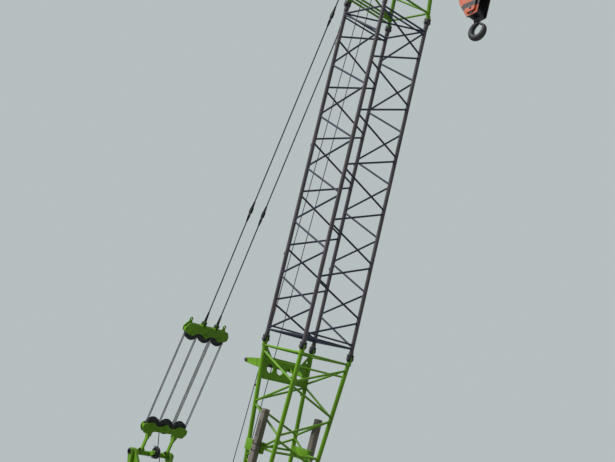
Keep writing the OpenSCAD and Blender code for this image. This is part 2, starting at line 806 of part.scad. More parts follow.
module lower_bridle() {
    color(green) at_lower_bridle() difference() {
        union() {
            translate([bridle_arm, 0, 0]) mirror([1, 0, 0]) bridle_plates(80);
            for (s = [-1, 1]) {
                block([0, s * arm_y - arm_thick / 2, -55], [arm_end, s * arm_y + arm_thick / 2, 55]);
                bar_y([0, s * arm_y, 0], arm_thick, 55);
                for (e = [-1, 1])
                    translate([0, s * arm_y, e * (bridle_gap + bridle_plate) / 2])
                        block([arm_end - 190, -arm_thick / 2, -bridle_plate / 2],
                            [arm_end, arm_thick / 2, bridle_plate / 2]);
            }
        }
        for (s = [-1, 1])
            bar_y([0, s * arm_y, 0], arm_thick + 2 * over, bridle_pin_d / 2 + fit);
    }
}
module lower_bridle_sheaves() at_lower_bridle() translate([bridle_arm, 0, 0]) bridle_sheaves();

// Winch drums
module drum(x) {
    half = winch_inner - free_gap;
    flange = 40;
    color(dark) translate([x, 0, drum_z]) rotate([90, 0, 0]) union() {
        cylinder(h = 2 * half, d = drum_d, center = true);
        for (s = [-1, 1])
            translate([0, 0, s * (half - flange / 2)])
                cylinder(h = flange, d = drum_flange_d, center = true);
        cylinder(h = 2 * winch_outer, d = drum_shaft_d, center = true);
    }
}
module main_drum() drum(main_drum_x);
module second_drum() drum(second_drum_x);
module boom_drum() drum(boom_drum_x);

// Cab
cab_floor_thick = 60;
cab_base = cab_low + cab_floor_thick;
cab_top = cab_low + cab_height;
cab_front = cab_rear_x + cab_length;
cab_outer_y = cab_inner_y + cab_width;
door_x0 = cab_rear_x + 500;
door_x1 = door_x0 + door_width;
door_low = cab_base + 60;
door_high = cab_top - 150;
sill = cab_base + 620;
head_rail = cab_top - 130;
module cab_floor() {
    color(green) block([cab_rear_x, cab_inner_y, cab_low], [cab_front, cab_outer_y, cab_base]);
}
// Side outline of the cab, drawn in by d
function cab_outline(d) = [[cab_rear_x + d, cab_base], [cab_front - d, cab_base],
    [cab_front - d, cab_base + 500], [cab_front - 240 - d, cab_top - d], [cab_rear_x + d, cab_top - d]];
module cab_frame() {
    mid = (cab_inner_y + cab_outer_y) / 2;
    color(green) difference() {
        plate_y(cab_outline(0), mid, cab_width);
        plate_y(cab_outline(cab_wall), mid, cab_width - 2 * cab_wall);
        block([door_x0, cab_outer_y - cab_wall - over, door_low],
            [door_x1, cab_outer_y + over, door_high]);
        for (w = cab_windows()) block(w[0], w[1]);
    }
    color(dark) for (z = hinge_rows) {
        knuckle(z - fit - 50, 50, -1);
        knuckle(z + knuckle_h + fit, 50, -1);
        translate([door_x0, hinge_y, z - 50]) cylinder(h = knuckle_h + 100, r = hinge_pin_r);
    }
}
// Window cuts: low corner and high corner of each
function cab_windows() = [
    [[cab_rear_x + 90, cab_outer_y - cab_wall - over, sill],
        [door_x0 - 90, cab_outer_y + over, head_rail]],
    [[cab_rear_x + 90, cab_inner_y - over, sill],
        [cab_front - 330, cab_inner_y + cab_wall + over, head_rail]],
    [[cab_front - 330, cab_inner_y + 90, cab_base + 560],
        [cab_front + over, cab_outer_y - 90, head_rail - 30]],
    [[cab_front - cab_wall - over, cab_inner_y + 90, cab_base + 110],
        [cab_front + over, cab_outer_y - 90, cab_base + 440]],
    [[cab_rear_x - over, cab_inner_y + 120, sill],
        [cab_rear_x + cab_wall + over, cab_outer_y - 120, head_rail]]];
module cab_glass() {
    w = cab_windows();
    mid = cab_wall / 2;
    color([0.5, 0.6, 0.62, 0.4]) {
        block([w[0][0].x, cab_outer_y - mid, w[0][0].z], [w[0][1].x, cab_outer_y - mid + glass_thick,
            w[0][1].z]);
        block([w[1][0].x, cab_inner_y + mid, w[1][0].z], [w[1][1].x, cab_inner_y + mid + glass_thick,
            w[1][1].z]);
        block([cab_front - mid, w[3][0].y, w[3][0].z], [cab_front - mid + glass_thick, w[3][1].y,
            w[3][1].z]);
        block([cab_rear_x + mid, w[4][0].y, w[4][0].z], [cab_rear_x + mid + glass_thick, w[4][1].y,
            w[4][1].z]);
        intersection() {
            difference() {
                plate_y(cab_outline(mid - glass_thick), (w[2][0].y + w[2][1].y) / 2,
                    w[2][1].y - w[2][0].y);
                plate_y(cab_outline(mid), (w[2][0].y + w[2][1].y) / 2, cab_width);
            }
            block(w[2][0], w[2][1]);
        }
    }
}
door_y = cab_outer_y - cab_wall;
door_gap = 6;
knuckle_r = 17;
hinge_y = cab_outer_y + knuckle_r + free_gap;
hinge_rows = [door_low + 200, door_high - 280];
knuckle_h = 80;
hinge_pin_r = 8;
// Hinge strap and knuckle, side 1 on the door and side -1 on the frame
module knuckle(z, height, side) {
    translate([0, 0, z]) {
        block([side > 0 ? door_x0 : door_x0 - 90, cab_outer_y - (side > 0 ? 0 : over), 0],
            [side > 0 ? door_x0 + 90 : door_x0, cab_outer_y + 12, height]);
        translate([door_x0, hinge_y, 0]) cylinder(h = height, r = knuckle_r);
    }
}
module cab_door() {
    color(green) difference() {
        union() {
            block([door_x0 + door_gap, door_y, door_low + door_gap],
                [door_x1 - door_gap, cab_outer_y, door_high - door_gap]);
            for (z = hinge_rows) knuckle(z, knuckle_h, 1);
        }
        block([door_x0 + 80, door_y - over, sill], [door_x1 - 80, cab_outer_y + over,
            door_high - 80]);
        for (z = hinge_rows)
            translate([door_x0, hinge_y, z - over])
                cylinder(h = knuckle_h + 2 * over, r = hinge_pin_r + fit);
    }
}
module cab_door_glass() {
    mid = cab_wall / 2;
    color([0.5, 0.6, 0.62, 0.4]) block([door_x0 + 80, cab_outer_y - mid, sill],
        [door_x1 - 80, cab_outer_y - mid + glass_thick, door_high - 80]);
}
// Work lamps, beacon, roof visor and mirror of the cab
lamp_r = 62;
module cab_fittings() {
    roof_front = cab_front - 240;
    color(dark) {
        for (y = [cab_inner_y + 130, cab_outer_y - 130]) {
            block([roof_front - 150, y - 20, cab_top], [roof_front - 110, y + 20, cab_top + 41]);
            translate([roof_front - 170, y, cab_top + 40 + lamp_r - 4]) rotate([0, 90, 0])
                cylinder(h = 90, r = lamp_r);
        }
        translate([cab_rear_x + 160, cab_inner_y + 160, cab_top]) {
            cylinder(h = 30, r = 70);
            translate([0, 0, 29]) cylinder(h = 120, r = 52);
        }
        rod([mirror_x, cab_outer_y, mirror_z], [mirror_x, cab_outer_y + 230, mirror_z], 14);
        block([mirror_x - 15, cab_outer_y + 140, mirror_z - 330],
            [mirror_x + 15, cab_outer_y + 320, mirror_z + 20]);
    }
}
mirror_x = cab_front - 320;
mirror_z = cab_top - 230;
module operator_seat() {
    mid = (cab_inner_y + cab_outer_y) / 2;
    color(dark) plate_y([[700, cab_base], [1100, cab_base], [1100, cab_base + 380],
        [1180, cab_base + 400], [1180, cab_base + 500], [760, cab_base + 500],
        [640, cab_base + 1150], [520, cab_base + 1150], [640, cab_base + 380], [700, cab_base + 380]],
        mid, 480);
}
module control_stands() {
    mid = (cab_inner_y + cab_outer_y) / 2;
    color(dark) for (s = [-1, 1])
        block([760, mid + s * 330 - 60, cab_base], [1300, mid + s * 330 + 60, cab_base + 560]);
    color(dark) block([1560, mid - 200, cab_base], [1700, mid + 200, cab_base + 620]);
}

// Boom
butt_end = butt_length;
insert_end = butt_length + insert_length;
shaft_s = insert_end + head_length;
taper_end = shaft_s - 2000;
head_width = 920;
head_depth = 1050;
butt_r = chord_d / 2;
insert_r = insert_chord_d / 2;
brace_r = lacing_d / 2;
tube_seat = 34;
// Sides of the tubes in the two tapered sections
taper_sides = 12;
// Rows of a section: station, width and depth at one end, then at the other
butt_taper = [[0, foot_width, foot_depth], [butt_end, boom_width, boom_depth]];
insert_taper = [[butt_end, boom_width, boom_depth], [insert_end, boom_width, boom_depth]];
head_taper = [[insert_end, boom_width, boom_depth], [taper_end, head_width, head_depth]];
function lerp(a, b, t) = a + (b - a) * t;
// Corner of a section: 0 top right, 1 belly right, 2 belly left, 3 top left
function corner(c, s, taper) =
    let (t = (s - taper[0][0]) / (taper[1][0] - taper[0][0]), row = lerp(taper[0], taper[1], t))
    [s, (c < 2 ? -1 : 1) * row[1] / 2, (c == 0 || c == 3 ? 1 : -1) * row[2] / 2];

module at_boom() translate([foot_x, 0, foot_z]) rotate([0, -boom_angle, 0]) children();

module chords(taper, a, b, r) {
    for (c = [0:3]) rod(corner(c, a, taper), corner(c, b, taper), r);
}
// Lacing tube from chord to chord, each end a little short of the chord's axis
module tube(p, q, r) {
    seat = tube_seat * (q - p) / norm(q - p);
    rod(p + seat, q - seat, r);
}
// Four tubes square to the section at station s
module cross_frame(taper, s, r) {
    for (c = [0:3]) tube(corner(c, s, taper), corner((c + 1) % 4, s, taper), r);
}
// Corner that face f meets at its k-th lacing node
function lacing_corner(f, k, shared) = ((shared ? f : 0) + k) % 2 == 0 ? f : (f + 1) % 4;
// Zigzag lacing of all four faces; the top face starts after skip bays
module lacing(taper, first, pitch, bays, shared, r, skip = 0) {
    for (f = [0:3], k = [0:bays - 1]) {
        away = sign(pitch) * (f % 2 == 0 ? 34 : 52);
        p = corner(lacing_corner(f, k, shared), first + k * pitch + away, taper);
        q = corner(lacing_corner(f, k + 1, shared), first + (k + 1) * pitch - away, taper);
        if (f < 3 || k >= skip) tube(p, q, r);
    }
}
// Removes all beyond the plane at station s, up to reach past it
module trim(s, reach) {
    difference() {
        union() children();
        translate([reach > 0 ? s : s + reach, -boom_width, -boom_width])
            cube([abs(reach), 2 * boom_width, 2 * boom_width]);
    }
}

lug_length = 520;
butt_top_frame = butt_end - 150;
butt_pitch = 650;
insert_pitch = (insert_length - 504) / 12;
web_low = butt_end - 950;
web_high = butt_end - 420;
web_thick = 14;
roller_s = butt_end - 600;
roller_lift = 700;
guide_roller_d = 120;
guide_roller_pin_d = 50;
stop_tilt = atan2(150, 4620);
backstop_low = 450;
backstop_high = 5070;
backstop_n = 125;
grip_high = 4150;
grip_low = 1250;

module foot_lug(s) {
    plate_y([[0, -130], [lug_length, -corner(3, lug_length, butt_taper).z - 60],
        [lug_length, corner(3, lug_length, butt_taper).z + 60], [0, 130]], s * foot_y, 2 * lug_half);
    bar_y([0, s * foot_y, 0], 2 * lug_half, 140);
}

module backstop_grip(s, at, length) {
    c = corner(3, at, butt_taper);
    reach = stop_y - backstop_side / 2 - fit;
    block([at - length / 2, s > 0 ? c.y - 30 : -reach, -100],
        [at + length / 2, s > 0 ? reach : -c.y + 30, c.z + 40]);
}

module boom_butt() {
    color(green) at_boom() difference() {
        trim(butt_end - connector_half, 500) union() {
            chords(butt_taper, lug_length - 180, butt_end, butt_r, $fn = taper_sides);
            lacing(butt_taper, butt_end - 250, -butt_pitch, 9, true, brace_r + 3, 1,
                $fn = taper_sides);
            for (at = [butt_top_frame, grip_high, 620])
                cross_frame(butt_taper, at, brace_r + 3, $fn = taper_sides);
            tube(corner(0, butt_end - 470, butt_taper), corner(2, butt_end - 470, butt_taper),
                brace_r, $fn = taper_sides);
            web_plate();
            for (s = [-1, 1]) {
                foot_lug(s);
                backstop_grip(s, grip_high, 270);
                backstop_grip(s, grip_low, 200);
                roller_bracket(s);
            }
        }
        for (s = [-1, 1]) {
            bar_y([0, s * foot_y, 0], 2 * lug_half + 2 * over, foot_pin_d / 2 + fit);
            bar_y([roller_s, s * roller_y, roller_n], 100, guide_roller_pin_d / 2 + fit);
        }
    }
}
roller_y = corner(3, roller_s, butt_taper).y - 60;
roller_n = corner(3, roller_s, butt_taper).z + roller_lift;
module roller_bracket(s) {
    plate_y([[roller_s - 130, roller_n - roller_lift], [roller_s + 130, roller_n - roller_lift],
        [roller_s + 55, roller_n + 50], [roller_s - 55, roller_n + 50]], s * roller_y, 40);
}
// Perforated plate in the top face below the joint
module web_plate() {
    a = corner(3, web_low, butt_taper);
    b = corner(3, web_high, butt_taper);
    slope = atan2(b.z - a.z, b.x - a.x);
    hole_pitch = 330;
    translate(a + [0, -a.y, 0]) rotate([0, -slope, 0]) difference() {
        block([0, -a.y, -web_thick / 2], [web_high - web_low, a.y, web_thick / 2]);
        for (k = [-1.5:1.5])
            translate([(web_high - web_low) / 2, k * hole_pitch, -web_thick])
                cylinder(h = 2 * web_thick, r = 110);
    }
}

module guide_roller() {
    color(dark) at_boom() {
        bar_y([roller_s, 0, roller_n], 2 * (roller_y - 20 - free_gap), guide_roller_d / 2);
        bar_y([roller_s, 0, roller_n], 2 * (roller_y + 30), guide_roller_pin_d / 2);
    }
}

module boom_insert() {
    first = butt_end + 252;
    color([0.32, 0.3, 0.31]) at_boom() union() {
        chords(insert_taper, butt_end + connector_half, insert_end - connector_half, insert_r);
        lacing(insert_taper, first, insert_pitch, 12, false, brace_r);
        for (e = [1, -1]) {
            s = e > 0 ? first : insert_end - 252;
            cross_frame(insert_taper, s, brace_r);
            for (c = [0, 2])
                tube(corner(c, s + e * 100, insert_taper), corner((c + 3) % 4, s + e * 100, insert_taper),
                    brace_r - 3);
        }
    }
}

module section_connectors() {
    color(dark) at_boom() for (s = [butt_end, insert_end], c = [0:3]) {
        p = corner(c, s, insert_taper);
        translate([s - connector_half, p.y - connector_width / 2, p.z - connector_width / 2])
            cube([2 * connector_half, connector_width, connector_width]);
        bar_y(p, connector_width + 70, section_pin_d / 2);
    }
}

module backstops() {
    color(grey) at_boom() both_sides()
        translate([backstop_low, stop_y, backstop_n]) rotate([0, stop_tilt, 0]) {
            translate([220, -backstop_side / 2, -backstop_side / 2])
                cube([backstop_high - backstop_low - 220, backstop_side, backstop_side]);
            translate([0, -backstop_side / 2 + 20, -backstop_side / 2 + 20])
                cube([221, backstop_side - 40, backstop_side - 40]);
        }
}

plate_head_y = head_width / 2;
head_plate = 40;
shaft_n = -600;
rear_pin = [shaft_s - 300, 450];
nose_at = [shaft_s + 1100, -1020];
nose_half = 110;
nose_d = 420;
head_shaft_d = 120;
head_joint = taper_end + 60;
module boom_head() {
    first = insert_end + 252;
    color(green) at_boom() trim(head_joint, 200) trim(insert_end + connector_half, -500) union() {
        chords(head_taper, insert_end, head_joint + 40, butt_r, $fn = taper_sides);
        lacing(head_taper, first, (taper_end - 200 - first) / 6, 6, false, brace_r + 3,
            $fn = taper_sides);
        for (s = [first, taper_end - 200])
            cross_frame(head_taper, s, brace_r + 3, $fn = taper_sides);
        for (s = [first - 90, first + 90])
            tube(corner(0, s, head_taper), corner(3, s, head_taper), brace_r + 3, $fn = taper_sides);
    }
}
module head_plates() {
    h = head_depth / 2 + 60;
    color(green) at_boom() difference() {
        union() {
            for (s = [-1, 1]) {
                plate_y([[head_joint, -h], [shaft_s - 200, shaft_n - 260],
                    [shaft_s + 160, shaft_n - 180], [shaft_s + 200, shaft_n + 140],
                    [shaft_s - 180, rear_pin[1] + 110], [shaft_s - 420, rear_pin[1] + 110],
                    [head_joint, h]], s * plate_head_y, head_plate);
                plate_y([[shaft_s - 500, -420], [shaft_s - 300, -700], nose_at + [60, -110],
                    nose_at + [110, 60], [shaft_s + 100, 100], [shaft_s - 500, 200]],
                    s * (nose_half - 15), 30);
            }
            bar_y([taper_end + 500, 0, h - 160], head_width, 60);
            bar_y([taper_end + 500, 0, -h + 160], head_width, 60);
            bar_y([shaft_s - 420, 0, -120], head_width, 70);
        }
        bar_y([shaft_s, 0, shaft_n], 2 * head_width, head_shaft_d / 2 + fit);
        bar_y([rear_pin[0], 0, rear_pin[1]], 2 * head_width, 40 + fit);
        bar_y([nose_at[0], 0, nose_at[1]], head_width, 40 + fit);
    }
    color(dark) at_boom() {
        bar_y([shaft_s, 0, shaft_n], head_width + head_plate + 60, head_shaft_d / 2);
        bar_y([rear_pin[0], 0, rear_pin[1]], head_width + head_plate + 60, 40);
        bar_y([nose_at[0], 0, nose_at[1]], 2 * nose_half + 60, 40);
    }
}
lead_wheel_d = 480;
lead_wheel_width = 70;
lead_wheel_y = 135;
lead_y = 200;
lead_groove = 30;
module head_guide_wheels() {
    color(dark) at_boom() for (s = [-1, 1])
        translate([rear_pin[0], s * lead_wheel_y, rear_pin[1]]) rotate([90, 0, 0])
            sheave(lead_wheel_d, lead_wheel_width, 80 + 2 * fit, lead_groove);
}
// Hoist ropes from the butt's roller to the guide wheels at the head
module hoist_leads() {
    n0 = roller_n + guide_roller_d / 2 + rope_d / 2 + fit;
    n1 = rear_pin[1] + lead_wheel_d / 2 - lead_groove + rope_d / 2 + fit;
    color(dark) at_boom() for (s = [-1, 1])
        rod([roller_s, s * lead_y, n0], [rear_pin[0] - 20, s * lead_wheel_y, n1], rope_d / 2);
}
module nose_sheave() {
    color(dark) at_boom() translate([nose_at[0], 0, nose_at[1]]) rotate([90, 0, 0])
        sheave(nose_d, 2 * (nose_half - 30 - free_gap), 80 + 2 * fit);
}

// Suspension
low_pin = [6810, 4290];
bridle_lug = 350;
lug_drop = 70;
eye_y = 590;
lug_root = bridle_back - 25;
link_d = rear_pin - low_pin;
pendant_slope = atan2(link_d[1], link_d[0]);
module at_pendants() {
    at_boom() translate([low_pin[0], 0, low_pin[1]]) rotate([0, -pendant_slope, 0]) children();
}
module pendants() {
    reach = norm(link_d);
    color(dark) at_pendants() both_sides() translate([0, pendant_half, 0]) {
        difference() {
            union() {
                rod([60, 0, 0], [reach - 60, 0, 0], pendant_d / 2);
                for (x = [0, reach]) bar_y([x, 0, 0], 50, 75);
                for (x = [120, 3280, 9160, reach - 380]) rod([x, 0, 0], [x + 280, 0, 0], 42);
            }
            bar_y([0, 0, 0], 60, 35 + fit);
            bar_y([reach, 0, 0], 60, 40 + fit);
        }
    }
}
module upper_bridle() {
    color(green) at_pendants() translate([-bridle_lug, 0, lug_drop]) difference() {
        union() {
            bridle_plates(0);
            for (s = [-1, 1]) difference() {
                translate([0, 0, bridle_gap / 2]) linear_extrude(bridle_plate)
                    polygon([[bridle_back - 60, s * eye_y - 60], [bridle_back + 110, s * eye_y - 42],
                        [bridle_back + 150, s * eye_y], [bridle_back + 110, s * eye_y + 42],
                        [bridle_back - 60, s * eye_y + 60]]);
                translate([bridle_back + 95, s * eye_y, 0]) cylinder(h = 2 * bridle_gap, r = 22);
            }
            for (s = [-1, 1], e = [-1, 1])
                plate_y([[lug_root, -lug_drop - 60], [bridle_lug + 55, -lug_drop - 55],
                    [bridle_lug + 55, -lug_drop + 55], [lug_root, bridle_gap / 2 + 5]],
                    s * pendant_half + e * (25 + fit + 12), 24);
        }
        for (s = [-1, 1]) bar_y([bridle_lug, s * pendant_half, -lug_drop], 160, 35 + fit);
    }
    color(dark) at_pendants() for (s = [-1, 1]) bar_y([0, s * pendant_half, 0], 130, 35);
}
module upper_bridle_sheaves() at_pendants() translate([-bridle_lug, 0, lug_drop]) bridle_sheaves();

// Head sheaves, hoist ropes and hook block
rope_groove = 30;
falls_x = block_sheave_d / 2 - rope_groove + rope_d / 2 + fit;
function boom_point(s, n) = [foot_x + s * cos(boom_angle) - n * sin(boom_angle),
    foot_z + s * sin(boom_angle) + n * cos(boom_angle)];
head_shaft = boom_point(shaft_s, shaft_n);
sheave_pitch = 92;
head_falls_x = head_sheave_d / 2 - rope_groove + rope_d / 2 + fit;
head_row = nose_half + 60;
// Falls: row of the block, place across the head, and side of both sheaves
fall_lines = [[-1, -head_row - sheave_pitch, 1], [-1, -head_row, -1], [0, -head_row, 1],
    [0, head_row, -1], [1, head_row, 1], [1, head_row + sheave_pitch, -1]];
module head_sheaves() {
    color(dark) translate([head_shaft[0], 0, head_shaft[1]]) rotate([90, 0, 0])
        for (k = [0:head_sheave_count - 1])
            for (s = [-1, 1])
                translate([0, 0, s * (head_row + sheave_pitch * floor(k / 2))])
                    if (k % 2 == 0) sheave(head_sheave_d, 80, head_shaft_d + 2 * fit);
}
module hoist_falls() {
    color(dark) for (f = fall_lines)
        rod([head_shaft[0] + f[2] * falls_x, f[0] * sheave_pitch, block_shaft_z],
            [head_shaft[0] + f[2] * head_falls_x, f[1], head_shaft[1]], rope_d / 2);
}
cheek_y = block_sheave_count * sheave_pitch / 2 + 20;
block_pin_d = 100;
cheek_weight = 45;
hook_sweep = 290;
module hook_block() {
    z = block_shaft_z;
    x = head_shaft[0];
    color([0.8, 0.25, 0.1]) difference() {
        union() {
            for (s = [-1, 1])
                plate_y([[x - 150, z - 780], [x + 150, z - 780], [x + 330, z - 300],
                    [x + 330, z + 180], [x + 180, z + 330], [x - 180, z + 330], [x - 330, z + 180],
                    [x - 330, z - 300]], s * (cheek_y + 15), 30);
            block([x - 120, -cheek_y - over, z - 780], [x + 120, cheek_y + over, z - 600]);
            for (s = [-1, 1])
                plate_y([[x - 110, z - 700], [x + 110, z - 700], [x + 235, z - 330],
                    [x + 235, z - 90], [x - 235, z - 90], [x - 235, z - 330]],
                    s * (cheek_y + 30 + cheek_weight / 2 - over), cheek_weight);
        }
        bar_y([x, 0, z], 400, block_pin_d / 2 + fit);
        translate([x, 0, z - 800]) cylinder(h = 400, d = 90 + 2 * fit);
    }
    color(dark) bar_y([x, 0, z], 2 * cheek_y + 120, block_pin_d / 2);
}
module block_sheaves() {
    color(dark) translate([head_shaft[0], 0, block_shaft_z]) rotate([90, 0, 0])
        for (k = [0:block_sheave_count - 1])
            translate([0, 0, (k - (block_sheave_count - 1) / 2) * sheave_pitch])
                sheave(block_sheave_d, 80, block_pin_d + 2 * fit);
}
module hook() {
    z = block_shaft_z - 780;
    bend_z = z - 180 - hook_bend_d / 2;
    color(dark) translate([head_shaft[0], 0, 0]) union() {
        translate([0, 0, z - 200]) cylinder(h = 440, d = 90);
        translate([0, 0, z + 180 + fit]) cylinder(h = 50, d = 160);
        translate([0, 0, bend_z]) rotate([90, 0, 0]) rotate([0, 0, 90])
            rotate_extrude(angle = hook_sweep) translate([hook_bend_d / 2, 0]) circle(hook_bar_d / 2);
        translate([0, 0, z - 130]) cylinder(h = 120, d = 150);
    }
}

car_body();
side_frame_left();
side_frame_right();
track_left();
track_right();
drive_sprockets();
idlers();
track_rollers();
slew_ring_lower();
slew_ring_upper();
revolving_frame();
deck_stands();
hood_left();
hood_right();
catwalks();
hand_rails();
exhaust_stack();
engine();
fuel_tank();
counterweight_tray();
counterweight_blocks();
gantry_front_legs();
gantry_rear_legs();
gantry_head();
gantry_guide_sheave();
lower_bridle();
lower_bridle_sheaves();
main_drum();
second_drum();
boom_drum();
cab_floor();
cab_frame();
cab_glass();
cab_door();
cab_door_glass();
cab_fittings();
operator_seat();
control_stands();
boom_butt();
boom_insert();
boom_head();
head_plates();
section_connectors();
backstops();
guide_roller();
pendants();
upper_bridle();
upper_bridle_sheaves();
head_guide_wheels();
hoist_leads();
head_sheaves();
nose_sheave();
hoist_falls();
hook_block();
block_sheaves();
hook();
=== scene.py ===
"""Looks of a crawler crane with a lattice boom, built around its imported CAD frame.

Lengths are in metres. +X points to the boom side, +Y to the cab side, +Z up.
"""

import json
from math import atan2, copysign, cos, hypot, pi, radians, sin, tau

import bmesh
import bpy
from bpy.props import FloatProperty, FloatVectorProperty, IntProperty, PointerProperty
from mathutils import Matrix, Vector


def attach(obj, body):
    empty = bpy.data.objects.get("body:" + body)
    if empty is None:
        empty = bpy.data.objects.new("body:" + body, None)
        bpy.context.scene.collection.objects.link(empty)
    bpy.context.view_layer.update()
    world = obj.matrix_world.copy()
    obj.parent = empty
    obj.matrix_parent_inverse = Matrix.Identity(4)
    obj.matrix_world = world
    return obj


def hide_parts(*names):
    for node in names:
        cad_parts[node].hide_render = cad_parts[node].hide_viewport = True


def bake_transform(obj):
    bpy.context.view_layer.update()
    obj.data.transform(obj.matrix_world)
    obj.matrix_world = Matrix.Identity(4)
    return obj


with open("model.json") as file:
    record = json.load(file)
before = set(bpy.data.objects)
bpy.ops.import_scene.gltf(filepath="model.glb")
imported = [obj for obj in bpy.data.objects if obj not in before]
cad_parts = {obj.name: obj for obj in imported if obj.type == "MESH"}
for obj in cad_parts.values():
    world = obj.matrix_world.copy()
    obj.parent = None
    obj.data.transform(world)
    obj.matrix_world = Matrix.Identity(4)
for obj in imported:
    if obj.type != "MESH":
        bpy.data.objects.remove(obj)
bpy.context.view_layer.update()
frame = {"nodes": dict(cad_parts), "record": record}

bl_info = {
    "name": "Crawler crane looks",
    "version": (1, 0, 0),
    "blender": (4, 5, 0),
    "location": "3D View > Sidebar > Crane",
    "description": "Builds the finished pieces, materials, light and camera of a crawler crane",
    "category": "Object",
}


class CraneColours(bpy.types.PropertyGroup):
    """Colours of the crane's paints."""

    green: FloatVectorProperty(name="Green paint", description="Paint of the boom ends, gantry and hoods",
        subtype="COLOR", size=3, min=0, max=1, default=(0.16, 0.38, 0.008))
    chord_grey: FloatVectorProperty(name="Chord paint",
        description="Paint of the chords of the middle boom section", subtype="COLOR", size=3, min=0,
        max=1, default=(0.105, 0.088, 0.098))
    brace_blue: FloatVectorProperty(name="Brace paint",
        description="Paint of the lacing of the middle boom section", subtype="COLOR", size=3, min=0,
        max=1, default=(0.024, 0.032, 0.062))
    block_orange: FloatVectorProperty(name="Block paint", description="Paint of the hook block's cheeks",
        subtype="COLOR", size=3, min=0, max=1, default=(0.62, 0.115, 0.03))
    weathered: FloatVectorProperty(name="Backstop paint", description="Worn paint of the boom backstops",
        subtype="COLOR", size=3, min=0, max=1, default=(0.205, 0.18, 0.155))
    backdrop: FloatVectorProperty(name="Backdrop", description="Colour seen behind the crane",
        subtype="COLOR", size=3, min=0, max=1, default=(0.47, 0.52, 0.53))


class CraneSizes(bpy.types.PropertyGroup):
    """Sizes of the crane's fine parts, and of the light and camera."""

    rope: FloatProperty(name="Hoist rope", description="Diameter of the hoist ropes", subtype="DISTANCE",
        unit="LENGTH", min=0.01, max=0.04, default=0.022)
    reeving_rope: FloatProperty(name="Reeving rope",
        description="Diameter of the boom hoist rope between the bridles", subtype="DISTANCE",
        unit="LENGTH", min=0.01, max=0.04, default=0.026)
    weld: FloatProperty(name="Weld bead", description="Width of the weld bead round a lacing tube",
        subtype="DISTANCE", unit="LENGTH", min=0.002, max=0.02, default=0.007)
    tube_sides: IntProperty(name="Tube sides", description="Facets round a boom chord", min=12, max=48,
        default=28)
    lens: FloatProperty(name="Lens", description="Focal length of the camera", subtype="DISTANCE_CAMERA",
        unit="CAMERA", min=20, max=200, default=53.97)
    key_strength: FloatProperty(name="Key light", description="Strength of the soft key light", min=0,
        max=10, default=3.0)
    sky_strength: FloatProperty(name="Sky light", description="Strength of the even light from all round",
        min=0, max=3, default=0.36)


def colours():
    return bpy.context.scene.crane_colours


def sizes():
    return bpy.context.scene.crane_sizes


class Value:
    """A shader socket that takes part in Python sums."""

    def __init__(self, paint, socket):
        self.paint, self.socket = paint, socket

    def __add__(self, other):
        return self.paint.maths("ADD", self, other)

    def __sub__(self, other):
        return self.paint.maths("SUBTRACT", self, other)

    def __mul__(self, other):
        return self.paint.maths("MULTIPLY", self, other)

    def __rsub__(self, other):
        return self.paint.maths("SUBTRACT", other, self)

    __radd__ = __add__
    __rmul__ = __mul__

    def above(self, edge, soft):
        """0 below edge, 1 above edge + soft, and smooth between."""
        return Value(self.paint, self.paint.node("ShaderNodeMapRange",
            {"interpolation_type": "SMOOTHSTEP"}, {"Value": self, "From Min": edge,
            "From Max": edge + soft}).outputs["Result"])

    def clamp(self):
        return Value(self.paint, self.paint.node("ShaderNodeClamp", {},
            {"Value": self}).outputs["Result"])


